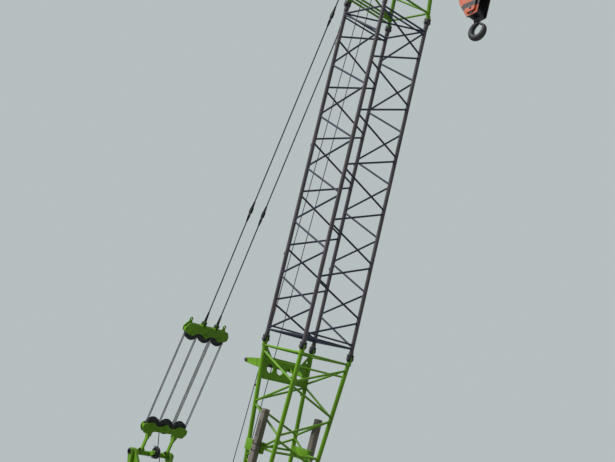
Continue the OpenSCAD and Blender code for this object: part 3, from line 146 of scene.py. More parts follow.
class Paint:
    """A material of one Principled shader and the nodes that feed it."""

    def __init__(self, name, constants=None):
        self.material = bpy.data.materials.new(name)
        self.material.use_nodes = True
        self.tree = self.material.node_tree
        self.shader = self.tree.nodes["Principled BSDF"]
        self.coordinates = self.tree.nodes.new("ShaderNodeTexCoord")
        for socket, value in (constants or {}).items():
            self.shader.inputs[socket].default_value = value

    def node(self, kind, settings, values):
        made = self.tree.nodes.new(kind)
        for key, value in settings.items():
            setattr(made, key, value)
        for key, value in values.items():
            socket = made.inputs[key] if isinstance(key, int) else next(s for s in made.inputs
                if key in (s.identifier, s.name))
            value = value.socket if isinstance(value, Value) else value
            if isinstance(value, bpy.types.NodeSocket):
                self.tree.links.new(value, socket)
            else:
                socket.default_value = value
        return made

    def maths(self, operation, *terms):
        return Value(self, self.node("ShaderNodeMath", {"operation": operation},
            dict(enumerate(terms))).outputs[0])

    def sine(self, a):
        return self.maths("SINE", a)

    def place(self, scale, tilt=(0, 0, 0)):
        """Coordinates of the piece, tilted and scaled per axis."""
        return self.node("ShaderNodeMapping", {"vector_type": "POINT"}, {
            "Vector": self.coordinates.outputs["Object"], "Scale": scale,
            "Rotation": tilt}).outputs[0]

    def noise(self, scale, detail=3.0, vector=None, roughness=0.55):
        return Value(self, self.node("ShaderNodeTexNoise", {}, {
            "Vector": vector or self.coordinates.outputs["Object"], "Scale": scale,
            "Detail": detail, "Roughness": roughness}).outputs["Fac"])

    def cells(self, scale):
        return Value(self, self.node("ShaderNodeTexVoronoi", {},
            {"Vector": self.coordinates.outputs["Object"], "Scale": scale}).outputs["Distance"])

    def axis(self, which, source="Object"):
        """One coordinate of the piece, of its UV map or of its normals."""
        return Value(self, self.node("ShaderNodeSeparateXYZ", {},
            {0: self.coordinates.outputs[source]}).outputs["XYZ".index(which)])

    def facing_up(self):
        """1 on faces that look up, 0 on the rest."""
        return self.axis("Z", "Normal").above(0.35, 0.5)

    def blend(self, factor, a, b):
        """Colour a where factor is 0, colour b where it is 1."""
        def rgba(c):
            return c if isinstance(c, Value) else (*c, 1)
        return Value(self, self.node("ShaderNodeMix", {"data_type": "RGBA"},
            {"Factor_Float": factor, "A_Color": rgba(a), "B_Color": rgba(b)}).outputs[2])

    def feed(self, socket, value):
        self.tree.links.new(value.socket, self.shader.inputs[socket])

    def finish(self, base=None, rough=None, height=None, depth=0.0, strength=1.0):
        """Feeds colour, roughness and bumps that are given, and gives the material."""
        if base:
            self.feed("Base Color", base)
        if rough:
            self.feed("Roughness", rough)
        if height:
            made = self.node("ShaderNodeBump", {}, {"Height": height, "Distance": depth,
                "Strength": strength})
            self.tree.links.new(made.outputs["Normal"], self.shader.inputs["Normal"])
        return self.material


def tone(colour, factor):
    return tuple(min(1.0, c * factor) for c in colour)


RUST, DUST, GRIME = (0.11, 0.04, 0.016), (0.3, 0.27, 0.22), (0.022, 0.02, 0.018)


def enamel(name, colour, dust, chips, streaks, gloss):
    """Sprayed paint: faded in patches, streaked by rain, dusty on top, chipped to rust."""
    p = Paint(name, {"Metallic": 0.0, "Specular IOR Level": 0.3})
    patches = p.noise(0.9, 4)
    runs = p.noise(1.0, 5, p.place((9, 9, 0.6)))
    fine = p.noise(34, 3)
    worn = p.noise(7.5, 6, roughness=0.7)
    base = p.blend(patches.above(0.32, 0.36), tone(colour, 0.8), tone(colour, 1.14))
    base = p.blend(runs.above(0.53, 0.22) * (streaks * 0.55), base, GRIME)
    base = p.blend(p.facing_up() * p.noise(3.0, 4).above(0.3, 0.4) * dust, base, DUST)
    chip = (worn * 0.72 + fine * 0.28).above(0.655 - 0.05 * chips, 0.018)
    halo = (worn * 0.72 + fine * 0.28).above(0.6 - 0.05 * chips, 0.06)
    base = p.blend(halo * 0.22, base, tone(colour, 0.45))
    return p.finish(p.blend(chip * 0.9, base, RUST), gloss + patches * 0.16 + fine * 0.08 + chip * 0.3,
        fine * 0.25 + runs * 0.3 - chip * 1.0, 0.0008, 0.6)


def steel(name, colour, rust, metallic, gloss, grease):
    """Bare or thinly painted steel with grease and rust bloom."""
    p = Paint(name, {"Metallic": metallic})
    patches = p.noise(4.0, 5)
    bloom = p.noise(16, 6, roughness=0.7)
    fine = p.noise(90, 2)
    base = p.blend(patches, tone(colour, 0.72), tone(colour, 1.25))
    base = p.blend(patches.above(0.5, 0.2) * grease, base, GRIME)
    spots = bloom.above(0.66 - 0.16 * rust, 0.08)
    return p.finish(p.blend(spots * (0.35 + 0.6 * rust), base, RUST), gloss + fine * 0.16 + spots * 0.28,
        bloom * 0.6 + fine * 0.4, 0.0012, 0.6)


def striped(name, colour):
    """Paint with slanted dark stripes, scratched and greasy."""
    p = Paint(name, {"Specular IOR Level": 0.45})
    waves = p.sine((p.axis("Z") + p.axis("X") * 0.12) * 18.8 + 3.457)
    scratches = p.noise(1.0, 4, p.place((60, 60, 5), (0, 0.5, 0)))
    patches = p.noise(3.5, 4)
    base = p.blend(patches, tone(colour, 0.78), tone(colour, 1.2))
    base = p.blend(waves.above(0.28, 0.03), base, (0.018, 0.017, 0.017))
    base = p.blend(scratches.above(0.6, 0.05) * 0.55, base, GRIME)
    base = p.blend(p.noise(9, 6, roughness=0.7).above(0.62, 0.03), base, RUST)
    return p.finish(base, 0.38 + patches * 0.25, scratches, 0.0008, 0.5)


def laid_rope(name, colour):
    """Wire rope: strands laid round the UV map's first axis, wires within them."""
    p = Paint(name, {"Metallic": 0.6})
    around, along = p.axis("X", "UV"), p.axis("Y", "UV")
    strands = p.sine((around * 6.0 + along * 36.0) * tau) * 0.5 + 0.5
    wires = p.sine((around * 42.0 - along * 150.0) * tau) * 0.5 + 0.5
    grease = p.noise(5, 4)
    # The colour follows the strand relief: painted shade dark in the grooves between strands, painted
    # light on their crowns
    base = p.blend(strands, tone(colour, 0.5), tone(colour, 1.15))
    base = p.blend(grease.above(0.5, 0.15) * 0.5, base, GRIME)
    return p.finish(base, 0.42 + grease * 0.25, strands * 0.8 + wires * 0.2, 0.0018, 0.9)


def tread_steel(name):
    """Cast track steel: dry mud in the hollows, bright where it runs."""
    p = Paint(name)
    mud = p.noise(5.5, 6, roughness=0.65)
    grit = p.noise(60, 3)
    base = p.blend(mud.above(0.42, 0.2), (0.045, 0.042, 0.04), (0.15, 0.115, 0.085))
    base = p.blend(p.noise(14, 5).above(0.6, 0.08) * 0.7, base, RUST)
    base = p.blend(grit.above(0.62, 0.05) * 0.35, base, (0.24, 0.21, 0.17))
    p.feed("Metallic", 0.5 - mud.above(0.42, 0.2) * 0.45)
    return p.finish(base, 0.5 + mud * 0.45, mud * 0.7 + grit * 0.3, 0.004, 0.7)


def chequered(name, colour):
    """Walkway plate with raised bars laid crosswise, worn bright on their tops."""
    p = Paint(name, {"Metallic": 0.2})
    x, y = p.axis("X") * 105, p.axis("Y") * 105
    bars = (p.sine(x + y) * p.sine((x - y) * 0.5)).above(0.45, 0.25)
    worn = p.noise(1.6, 5)
    base = p.blend(worn, tone(colour, 0.7), tone(colour, 1.3))
    base = p.blend(p.noise(9, 6, roughness=0.7).above(0.58, 0.06), base, RUST)
    base = p.blend(worn.above(0.5, 0.2) * 0.5, base, DUST)
    base = p.blend(bars * worn.above(0.4, 0.3) * 0.6, base, (0.22, 0.21, 0.2))
    return p.finish(base, 0.5 + worn * 0.3, bars * p.facing_up(), 0.003, 0.8)


def moulded(name, colour, gloss, grain):
    """Moulded plastic or rubber with a fine grain."""
    p = Paint(name)
    grains = p.cells(grain)
    patches = p.noise(6, 4)
    return p.finish(p.blend(patches, tone(colour, 0.8), tone(colour, 1.25)), gloss + patches * 0.2,
        grains, 0.0004, 0.6)


def woven(name, colour):
    """Seat cloth with a fine weave."""
    p = Paint(name, {"Sheen Weight": 0.25, "Roughness": 0.9})
    weave = p.sine(p.axis("X") * 1500) * p.sine(p.axis("Y") * 1500) + p.sine(p.axis("Z") * 1500)
    base = p.blend((weave * 0.25 + 0.5).clamp(), tone(colour, 0.6), tone(colour, 1.7))
    return p.finish(p.blend(p.noise(9, 4).above(0.5, 0.3) * 0.3, base, DUST), None, weave, 0.0006, 0.5)


def pane(name, tint):
    """Thin tinted window glass with a little dust."""
    p = Paint(name, {"Transmission Weight": 0.92, "IOR": 1.45, "Base Color": (*tint, 1)})
    return p.finish(rough=p.noise(2.2, 5).above(0.45, 0.5) * 0.12)


def lens(name, colour):
    """Ribbed lamp lens."""
    p = Paint(name, {"Transmission Weight": 0.35, "Base Color": (*colour, 1), "Roughness": 0.16})
    return p.finish(height=p.sine(p.axis("Z") * 620), depth=0.0015, strength=0.8)


finishes = {}
# The frame's material slot for each finish; where two share one, the last is the frame's own
SLOTS = {
    "green": "green_paint", "brace": "grey_paint", "chord": "grey_paint", "black": "dark_paint",
    "tread": "track_steel", "machined": "bare_steel", "iron": "engine_iron",
    "sheave": "sheave_steel", "bright_rope": "wire_rope", "rope": "wire_rope",
    "glass": "cab_glass", "cloth": "seat_cloth", "plastic": "dark_plastic",
    "weathered": "weathered_grey", "block": "block_paint", "forged": "forged_steel",
    "chequer": "walkway_steel", "rail": "rail_steel", "exhaust": "stack_steel"}


class CRANE_OT_finishes(bpy.types.Operator):
    """Mix the paints, steels, ropes, glass and cloth of the crane"""

    bl_idname = "crane.finishes"
    bl_label = "Finishes"

    def execute(self, context):
        c = colours()
        for key, colour, dust, chips, streaks, gloss in (
                ("green", c.green, 0.28, 0.25, 0.55, 0.34),
                ("chord", c.chord_grey, 0.12, 0.6, 0.25, 0.42),
                ("brace", c.brace_blue, 0.1, 0.35, 0.2, 0.42),
                ("black", (0.018, 0.018, 0.02), 0.5, 0.6, 0.2, 0.34),
                ("weathered", c.weathered, 0.6, 1.6, 0.9, 0.55),
                ("rail", (0.66, 0.4, 0.03), 0.35, 0.7, 0.3, 0.34)):
            finishes[key] = enamel(f"{key}_enamel", colour, dust, chips, streaks, gloss)
        for key, name, colour, rust, metallic, gloss, grease in (
                ("sheave", "sheave_steel", (0.026, 0.026, 0.03), 0.15, 0.55, 0.42, 0.6),
                ("pin", "pin_steel", (0.1, 0.1, 0.105), 0.35, 0.55, 0.42, 0.3),
                ("machined", "machined_steel", (0.42, 0.42, 0.41), 0.1, 0.9, 0.3, 0.35),
                ("forged", "forged_steel", (0.03, 0.03, 0.032), 0.12, 0.35, 0.5, 0.3),
                ("iron", "cast_iron", (0.16, 0.16, 0.165), 0.35, 0.3, 0.55, 0.4),
                ("exhaust", "exhaust_steel", (0.17, 0.12, 0.09), 0.9, 0.4, 0.6, 0.4)):
            finishes[key] = steel(name, colour, rust, metallic, gloss, grease)
        finishes.update({
            "block": striped("block_stripes", c.block_orange),
            "rope": laid_rope("wire_rope_lay", (0.085, 0.085, 0.09)),
            "bright_rope": laid_rope("worn_rope_lay", (0.2, 0.2, 0.205)),
            "tread": tread_steel("tread_steel"),
            "chequer": chequered("chequer_plate", (0.055, 0.058, 0.06)),
            "plastic": moulded("dark_plastic_grain", (0.028, 0.028, 0.03), 0.5, 260),
            "rubber": moulded("rubber_seal", (0.016, 0.016, 0.017), 0.65, 140),
            "cloth": woven("seat_weave", (0.028, 0.03, 0.036)),
            "glass": pane("window_pane", (0.62, 0.78, 0.76)),
            "lamp": lens("lamp_lens", (0.92, 0.94, 0.95)),
            "amber_lamp": lens("amber_lens", (0.95, 0.35, 0.02))})
        return {"FINISHED"}


SIDES = (-1, 1)
FLAT = Matrix()
SOFTENED, CREASE = radians(30), radians(38)
HOLE_SIDES = 28


def shift(x=0.0, y=0.0, z=0.0):
    return Matrix.Translation((x, y, z))


def turn(angle, axis):
    return Matrix.Rotation(angle, 4, axis)


def rise(p, q):
    """Matrix that puts +Z at p, pointing to q."""
    p, q = Vector(p), Vector(q)
    return shift(*p) @ (q - p).to_track_quat("Z", "Y").to_matrix().to_4x4()


def upright(x=0.0, y=0.0, z=0.0):
    """Matrix that turns outlines of (x, z) points upright, their thickness along Y."""
    return shift(x, y, z) @ turn(pi / 2, "X")


def across(centre=(0, 0, 0)):
    """Matrix that lays +Z along +Y at centre, for wheels and pins."""
    return shift(*centre) @ turn(-pi / 2, "X")


def facing_x(x=0.0):
    """Matrix that lays outlines of (y, z) points in a plane square to X at x."""
    return Matrix(((0, 0, 1, x), (1, 0, 0, 0), (0, 1, 0, 0), (0, 0, 0, 1)))


def ring(count, r, start=0.0):
    """Points spread evenly round a circle."""
    return [(r * cos(start + k * tau / count), r * sin(start + k * tau / count)) for k in range(count)]


def crown(u, v, r, angles, r_up=None):
    """Points of an arc about (u, v), angles in radians from straight up."""
    return [(u + r * sin(a), v + (r_up or r) * cos(a)) for a in angles]


def rect(u0, v0, u1, v1):
    return [(u0, v0), (u1, v0), (u1, v1), (u0, v1)]


def both(points):
    """The points and their images with the second number turned round."""
    return points + [(u, -v) for u, v in reversed(points) if v]


def twin(points):
    """The points and their images with the first number turned round."""
    return points + [(-u, v) for u, v in reversed(points) if u]


class Piece:
    """One finished object, gathered from small closed forms made by bmesh operators."""

    def __init__(self, name, *paints, base=FLAT):
        self.name, self.paints, self.base = name, paints, base
        self.bm = bmesh.new()
        self.uv = self.bm.loops.layers.uv.new("UVMap")
        self.scratch = bpy.data.meshes.new("scratch")

    def add(self, form, place=FLAT, paint=0):
        """Merges a form, placed on the piece's base, in one of the piece's paints."""
        place = self.base @ place
        bmesh.ops.transform(form, matrix=place, verts=form.verts)
        if place.determinant() < 0:
            bmesh.ops.reverse_faces(form, faces=form.faces)
        for face in form.faces:
            face.material_index = paint
        form.to_mesh(self.scratch)
        form.free()
        self.bm.from_mesh(self.scratch)

    def tube(self, p, q, r, sides=16, paint=0, end_r=None):
        length = (Vector(q) - Vector(p)).length
        self.add(cone(r, r if end_r is None else end_r, 0, length, sides), rise(p, q), paint)

    def pin(self, centre, length, r, sides=24, paint=0, edge=0.004):
        """Round bar along Y with chamfered ends."""
        half = length / 2
        profile = both([(0, -half), (r - edge, -half), (r, edge - half)])
        self.add(lathe(profile, sides), across(centre), paint)

    def box(self, corner_a, corner_b, bevel=0.006, paint=0, segments=2):
        form = bmesh.new()
        cube(form, corner_a, corner_b)
        soften(form, bevel, segments)
        self.add(form, FLAT, paint)

    def plate(self, outline, thick, place, bevel=0.004, paint=0, holes=()):
        """Plate at a matrix, or standing square to Y at a given y."""
        place = place if isinstance(place, Matrix) else upright(y=place)
        self.add(slab(outline, thick, bevel, holes), place, paint)

    def turned(self, profile, place, sides=48, paint=0):
        self.add(lathe(profile, sides), place, paint)

    def bolt(self, at, axis, r=0.016, height=0.012, paint=0):
        """Washer and hexagon head at a point, standing along axis."""
        place = rise(at, Vector(at) + Vector(axis))
        for size, low, high, sides in ((r * 1.45, 0, 0.3, 12), (r, 0.3, 1, 6)):
            self.add(cone(size, size * 0.96, height * low, height * high, sides), place, paint)

    def rope(self, points, r, sides=10, paint=0):
        """Round rope along points, with the UV map running round and along it."""
        form, along = swept(points, r, sides)
        layer = form.loops.layers.uv.verify()
        for face in form.faces:
            if len(face.loops) == 4:
                spots = [along[loop.vert] for loop in face.loops]
                wrap = max(arc for _, arc in spots) - min(arc for _, arc in spots) > 0.5
                for loop, (travelled, arc) in zip(face.loops, spots):
                    loop[layer].uv = (arc + 1 if wrap and arc < 0.5 else arc, travelled)
        self.add(form, FLAT, paint)

    def done(self, body=None, *replaces):
        """Makes the object, shades it smooth up to a crease and rides it on a body.
        """
        mesh = bpy.data.meshes.new(self.name)
        self.bm.to_mesh(mesh)
        self.bm.free()
        bpy.data.meshes.remove(self.scratch)
        for paint in self.paints:
            mesh.materials.append(finishes[paint])
        mesh.shade_smooth()
        mesh.set_sharp_from_angle(angle=CREASE)
        obj = bpy.data.objects.new(self.name, mesh)
        bpy.context.scene.collection.objects.link(obj)
        if body:
            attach(obj, body)
        self.paints[0] in SLOTS
        if replaces:
            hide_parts(*replaces)
        return obj


def cone(r, end_r, low, high, sides):
    form = bmesh.new()
    bmesh.ops.create_cone(form, cap_ends=True, segments=sides, radius1=r, radius2=end_r, depth=high - low,
        matrix=shift(z=(low + high) / 2))
    return form


def cube(form, a, b):
    """Adds the box between two opposite corners, given in any order."""
    low, high = (Vector(pick(pair) for pair in zip(a, b)) for pick in (min, max))
    return bmesh.ops.create_cube(form, size=1, matrix=shift(*(low + high) / 2)
        @ Matrix.Diagonal((*(high - low), 1)))["verts"]


def bevelled(form, edges, width, segments):
    bmesh.ops.bevel(form, geom=edges, offset=width, offset_type="OFFSET", affect="EDGES",
        segments=segments, profile=0.5, material=-1, clamp_overlap=True)


def soften(form, width, segments=2):
    """Bevels the sharp edges of a form."""
    if width > 0:
        bevelled(form, [e for e in form.edges if len(e.link_faces) == 2
            and e.calc_face_angle(0) > SOFTENED], width, segments)


def rounded(outline, r, steps=3):
    """The outline with each corner cut back by r and rounded."""
    spots = []
    for k, point in enumerate(outline):
        c = Vector(point)
        a, b = Vector(outline[k - 1]) - c, Vector(outline[(k + 1) % len(outline)]) - c
        p, q = (c + way.normalized() * min(r, way.length * 0.45) for way in (a, b))
        for i in range(steps + 1):
            t = i / steps
            spots.append(tuple(p * (1 - t) ** 2 + c * 2 * t * (1 - t) + q * t * t))
    return spots


def slab(outline, thick, bevel=0.004, holes=()):
    """Plate of (u, v) outline points with round holes (u, v, r), centred on its thickness."""
    form = bmesh.new()
    rings = [outline] + [[(u + du, v + dv) for du, dv in ring(HOLE_SIDES, r)] for u, v, r in holes]
    rings = [[form.verts.new((u, v, -thick / 2)) for u, v in points] for points in rings]
    if holes:
        edges = [form.edges.new(pair) for verts in rings for pair in zip(verts, verts[1:] + verts[:1])]
        bmesh.ops.triangle_fill(form, use_beauty=True, edges=edges)
        bmesh.ops.dissolve_limit(form, angle_limit=0.01, verts=form.verts, edges=form.edges)
    else:
        form.faces.new(rings[0])
    grown = bmesh.ops.extrude_face_region(form, geom=list(form.faces))["geom"]
    bmesh.ops.translate(form, vec=(0, 0, thick), verts=[g for g in grown
        if isinstance(g, bmesh.types.BMVert)])
    bmesh.ops.recalc_face_normals(form, faces=form.faces)
    soften(form, 0 if holes else bevel, 1)
    return form


def lathe(profile, sides, closed=False):
    """Round form about Z from (radius, height) points that start and end on it, or a ring."""
    form = bmesh.new()
    verts = [form.verts.new((r, 0, h)) for r, h in profile]
    edges = [form.edges.new(pair) for pair in zip(verts, verts[1:] + verts[:closed])]
    bmesh.ops.spin(form, geom=verts + edges, cent=(0, 0, 0), axis=(0, 0, 1), dvec=(0, 0, 0), angle=tau,
        steps=sides, use_merge=True)
    bmesh.ops.remove_doubles(form, verts=form.verts, dist=1e-6)
    bmesh.ops.recalc_face_normals(form, faces=form.faces)
    return form


def hoop(profile, sides):
    """Closed ring about Z from a closed loop of (radius, height) points."""
    return lathe(profile, sides, True)


def band(r, out, half, sides=28):
    """Ring of rectangular section."""
    return hoop(rect(r, -half, out, half), sides)


def swept(points, r, sides, radii=None):
    """Tube through points; gives the form and each vertex's (length along, share round)."""
    points = [Vector(p) for p in points]
    form = bmesh.new()
    along = {}
    verts, edges, travelled = [], [], 0.0
    side = (points[1] - points[0]).orthogonal().normalized()
    for i, point in enumerate(points):
        ahead = points[min(i + 1, len(points) - 1)] - point
        back = point - points[max(i - 1, 0)]
        travelled += back.length
        heading = (ahead.normalized() + back.normalized()).normalized()
        side = (side - heading * side.dot(heading)).normalized()
        other = heading.cross(side)
        spots = [point + side * u + other * v for u, v in ring(sides, radii[i] if radii else r)]
        if verts:
            grown = bmesh.ops.extrude_edge_only(form, edges=edges)["geom"]
            edges = [g for g in grown if isinstance(g, bmesh.types.BMEdge)]
            fresh = [g for g in grown if isinstance(g, bmesh.types.BMVert)]
            verts = [min(fresh, key=lambda v, o=old: (v.co - o.co).length) for old in verts]
            for vert, spot in zip(verts, spots):
                vert.co = spot
        else:
            verts = [form.verts.new(s) for s in spots]
            edges = [form.edges.new(pair) for pair in zip(verts, verts[1:] + verts[:1])]
            form.faces.new(reversed(verts))
        along.update((vert, (travelled, k / sides)) for k, vert in enumerate(verts))
    form.faces.new(verts)
    bmesh.ops.recalc_face_normals(form, faces=form.faces)
    return form, along


# Boom frame: station along the boom, side to side, and height over its axis
FOOT = Vector((1.0, 0, 1.75))
BOOM = shift(*FOOT) @ turn(-radians(70.3), "Y")
WIDE, DEEP = 1.6, 1.43
BUTT_END, INSERT_END, SHAFT_S = 6.7, 15.7, 22.2
TAPER_END = SHAFT_S - 2.0
BUTT_TAPER = ((0.0, 1.21, 0.29), (BUTT_END, WIDE, DEEP))
INSERT_TAPER = ((BUTT_END, WIDE, DEEP), (INSERT_END, WIDE, DEEP))
HEAD_TAPER = ((INSERT_END, WIDE, DEEP), (TAPER_END, 0.92, 1.05))
CHORD_R, INSERT_CHORD_R, LACING_R, END_LACING_R = 0.054, 0.051, 0.025, 0.028
JOINT_HALF, FRAME_INSET = 0.13, 0.252


def corner(c, s, taper):
    """Chord centre: 0 top right, 1 belly right, 2 belly left, 3 top left."""
    (s0, w0, d0), (s1, w1, d1) = taper
    t = (s - s0) / (s1 - s0)
    return Vector((s, (-0.5 if c < 2 else 0.5) * (w0 + (w1 - w0) * t),
        (0.5 if c in (0, 3) else -0.5) * (d0 + (d1 - d0) * t)))


def braced(piece, p, q, r, chord_r):
    """Lacing tube between two chord centres, with its weld beads."""
    way = (q - p).normalized()
    piece.tube(p + way * (chord_r * 0.55), q - way * (chord_r * 0.55), r)
    bead = sizes().weld
    for at, out in ((p, way), (q, -way)):
        face = at + out * (chord_r * 1.02)
        piece.tube(face - out * 0.02, face + out * (bead * 1.8), r + bead * 1.5, end_r=r * 0.99)


def tie(piece, taper, s, a, b, r, chord_r):
    braced(piece, corner(a, s, taper), corner(b, s, taper), r, chord_r)


def square_frame(piece, taper, s, r, chord_r):
    for c in range(4):
        tie(piece, taper, s, c, (c + 1) % 4, r, chord_r)


def chords(piece, taper, a, b, r):
    for c in range(4):
        piece.tube(corner(c, a, taper), corner(c, b, taper), r, sizes().tube_sides)


def lacing(piece, taper, first, pitch, bays, r, chord_r, shared=False, skip=0):
    """Zigzag lacing tubes of all four faces, as in the frame's own solids."""
    for f in range(4):
        away = copysign(0.034 if f % 2 == 0 else 0.052, pitch)
        for k in range(skip if f == 3 else 0, bays):
            a, b = ((f, (f + 1) % 4) if ((f if shared else 0) + k) % 2 == 0 else ((f + 1) % 4, f))
            braced(piece, corner(a, first + k * pitch + away, taper), corner(b,
                first + (k + 1) * pitch - away, taper), r, chord_r)


def butt():
    p = Piece("boom_butt_frame", "green", "pin", "black", base=BOOM)
    chords(p, BUTT_TAPER, 0.34, BUTT_END - JOINT_HALF, CHORD_R)
    lacing(p, BUTT_TAPER, BUTT_END - 0.25, -0.65, 9, END_LACING_R, CHORD_R, True, 1)
    for s in (BUTT_END - 0.15, 4.15, 0.62):
        square_frame(p, BUTT_TAPER, s, END_LACING_R, CHORD_R)
    tie(p, BUTT_TAPER, BUTT_END - 0.47, 0, 2, LACING_R, CHORD_R)
    web_plate(p)
    lug = 0.52
    low, high = 0.13, 0.06 - corner(1, lug, BUTT_TAPER).z
    for side in SIDES:
        y = side * 0.605
        p.plate([(0, -low), (lug, -high), (lug, high), (0, low)], 0.12, y, 0.01)
        p.add(hoop(both([(0.0555, -0.062), (0.135, -0.062), (0.14, -0.057)]), 48), across((0, y, 0)))
        grip(p, side, 4.15, 0.27)
        grip(p, side, 1.25, 0.2)
        roller_arm(p, side)
    p.done("boom", "boom_butt")


def grip(p, side, s, length):
    """Box bracket that holds a backstop to its chord."""
    c = corner(3, s, BUTT_TAPER)
    top = c.z + 0.04
    p.box((s - length / 2, side * (c.y - 0.03), -0.1), (s + length / 2, side * 0.795, top), 0.008)
    for x in (s - length * 0.46, s + length * 0.46):
        p.box((x - 0.008, side * 0.8 - 0.06, -0.14), (x + 0.008, side * 0.8 + 0.06, top * 0.6), 0.003)


def roller_arm(p, side):
    s = BUTT_END - 0.6
    c = corner(3, s, BUTT_TAPER)
    y, n = c.y - 0.06, c.z + 0.7
    p.plate(rounded([(s - 0.13, c.z), (s + 0.13, c.z), (s + 0.055, n + 0.05), (s - 0.055, n + 0.05)],
        0.03), 0.04, side * y, 0.006)
    for e in SIDES:
        p.tube((s + e * 0.09, side * (y - 0.02), c.z + 0.05), (s + e * 0.03, side * (y - 0.02), n - 0.1),
            0.014, 12)
    p.pin((s, side * (y + 0.03), n), 0.05, 0.042, paint=1)


def web_plate(p):
    """Perforated plate between the top chords, with its stiffeners and corner gussets."""
    a, b, clip = (corner(3, s, BUTT_TAPER) for s in (BUTT_END - 0.95, BUTT_END - 0.42, 5.55))
    for side in SIDES:
        y = side * clip.y
        p.box((clip.x - 0.03, y - 0.03, clip.z + 0.045), (clip.x + 0.03, y + 0.03, clip.z + 0.1), paint=2)
    p.base = BOOM @ shift(a.x, 0, a.z) @ turn(-atan2(b.z - a.z, b.x - a.x), "Y")
    long = hypot(b.x - a.x, b.z - a.z)
    holes = [(long / 2, k * 0.33, 0.11) for k in (-1.5, -0.5, 0.5, 1.5)]
    p.plate([(0, -a.y), (long, -b.y), (long, b.y), (0, a.y)], 0.016, FLAT, holes=holes)
    for u, v, r in holes:
        p.add(band(r, r + 0.012, 0.02), shift(u, v))
    for u in (0.0, long):
        p.box((u - 0.012, 0.03 - a.y, -0.045), (u + 0.012, a.y - 0.03, 0.045), 0.004)
    for side in SIDES:
        gusset = [(0, 0), (0.3, 0), (0.3, -0.05), (0.12, -0.2), (0, -0.3)]
        p.plate([(long + u, side * (b.y + v)) for u, v in gusset], 0.014, FLAT,
            holes=[(long + 0.1, side * (b.y - 0.105), 0.028)])
    p.base = BOOM


def insert():
    p = Piece("boom_insert_chords", "chord", "black", base=BOOM)
    chords(p, INSERT_TAPER, BUTT_END + JOINT_HALF, INSERT_END - JOINT_HALF, INSERT_CHORD_R)
    for s in (8.9, 11.8, 14.6):
        for c in (0, 3):
            at = corner(c, s, INSERT_TAPER)
            p.box(at + Vector((-0.04, -0.02, 0.045)), at + Vector((0.04, 0.02, 0.085)), 0.005, 1)
    p.done("boom", "boom_insert")
    p = Piece("boom_insert_lacing", "brace", base=BOOM)
    first, last = BUTT_END + FRAME_INSET, INSERT_END - FRAME_INSET
    lacing(p, INSERT_TAPER, first, (last - first) / 12, 12, LACING_R, INSERT_CHORD_R)
    for s, inward in ((first, 0.1), (last, -0.1)):
        square_frame(p, INSERT_TAPER, s, LACING_R, INSERT_CHORD_R)
        for at, a, b in ((s + inward, 0, 3), (s + inward, 2, 1), (s, 0, 2)):
            tie(p, INSERT_TAPER, at, a, b, LACING_R * 0.9, INSERT_CHORD_R)
    p.done("boom")


def upper_section():
    p = Piece("boom_head_frame", "green", base=BOOM)
    chords(p, HEAD_TAPER, INSERT_END + JOINT_HALF, TAPER_END + 0.06, CHORD_R)
    first, last = INSERT_END + FRAME_INSET, TAPER_END - 0.2
    lacing(p, HEAD_TAPER, first, (last - first) / 6, 6, END_LACING_R, CHORD_R)
    for s in (first, last):
        square_frame(p, HEAD_TAPER, s, END_LACING_R, CHORD_R)
    for s in (first - 0.09, first + 0.09):
        tie(p, HEAD_TAPER, s, 0, 3, END_LACING_R, CHORD_R)
    for c, side in ((0, -1), (3, 1)):
        p.plate([(0, 0), (0.34, 0), (0.1, -side * 0.26), (0, -side * 0.26)], 0.014,
            shift(*corner(c, first, HEAD_TAPER)), 0.002)
    p.done("boom", "boom_head")


def connectors():
    """Forked pin joints between the sections."""
    p = Piece("section_joints", "black", "pin", "green", "chord")
    for s, paints in ((BUTT_END, (2, 3)), (INSERT_END, (3, 2))):
        for c in range(4):
            at = corner(c, s, INSERT_TAPER)
            out = copysign(1, at.y)
            p.base = BOOM @ shift(*at)
            for e, paint in zip(SIDES, paints):
                p.tube((e * JOINT_HALF * 0.55, 0, 0), (e * (JOINT_HALF + 0.05), 0, 0), 0.061, 28, paint)
                p.plate(both([(0.11, -0.068), (-0.03, -0.068), (-0.075, -0.035)]), 0.034, e * 0.042,
                    0.005)
            p.plate(both([(-0.1, -0.065), (0.03, -0.065), (0.075, -0.03)]), 0.044, 0, 0.005, paints[0])
            p.pin((0, 0, 0), 0.2, 0.033, paint=1)
            p.pin((0, out * 0.085, 0), 0.02, 0.046, paint=1)
            p.tube((0, -out * 0.092, -0.05), (0, -out * 0.092, 0.05), 0.004, 8, 1)
    p.done("boom", "section_connectors")


class CRANE_OT_boom_sections(bpy.types.Operator):
    """Make the chords and lacing of the three boom sections"""

    bl_idname = "crane.boom_sections"
    bl_label = "Boom sections"

    def execute(self, context):
        butt()
        insert()
        upper_section()
        connectors()
        return {"FINISHED"}


PULL = shift(-3.133, 0, 6.368) @ turn(-radians(54.6), "Y")
ARM = 0.8
LOW_PIN, REAR_PIN = Vector((6.81, 0, 4.29)), Vector((21.9, 0, 0.45))
LINK = REAR_PIN - LOW_PIN
PENDANTS = BOOM @ shift(*LOW_PIN) @ turn(-atan2(LINK.z, LINK.x), "Y")
UPPER_BRIDLE = PENDANTS @ shift(-0.35, 0, 0.07)
LOWER_BRIDLE = PULL @ shift(ARM)
BRIDLE_SHEAVE_R, BRIDLE_GROOVE, BRIDLE_PITCH = 0.22, 0.024, 0.46
BRIDLE_GAP, BRIDLE_PLATE = 0.11, 0.03
INNER, MIDDLE, OUTER = BRIDLE_GAP / 2, (BRIDLE_GAP + BRIDLE_PLATE) / 2, BRIDLE_GAP / 2 + BRIDLE_PLATE
PENDANT_Y, PENDANT_R = 0.22, 0.018
HEAD_Y, SHAFT_N = 0.46, -0.6
HEAD_SHAFT = BOOM @ Vector((SHAFT_S, 0, SHAFT_N))
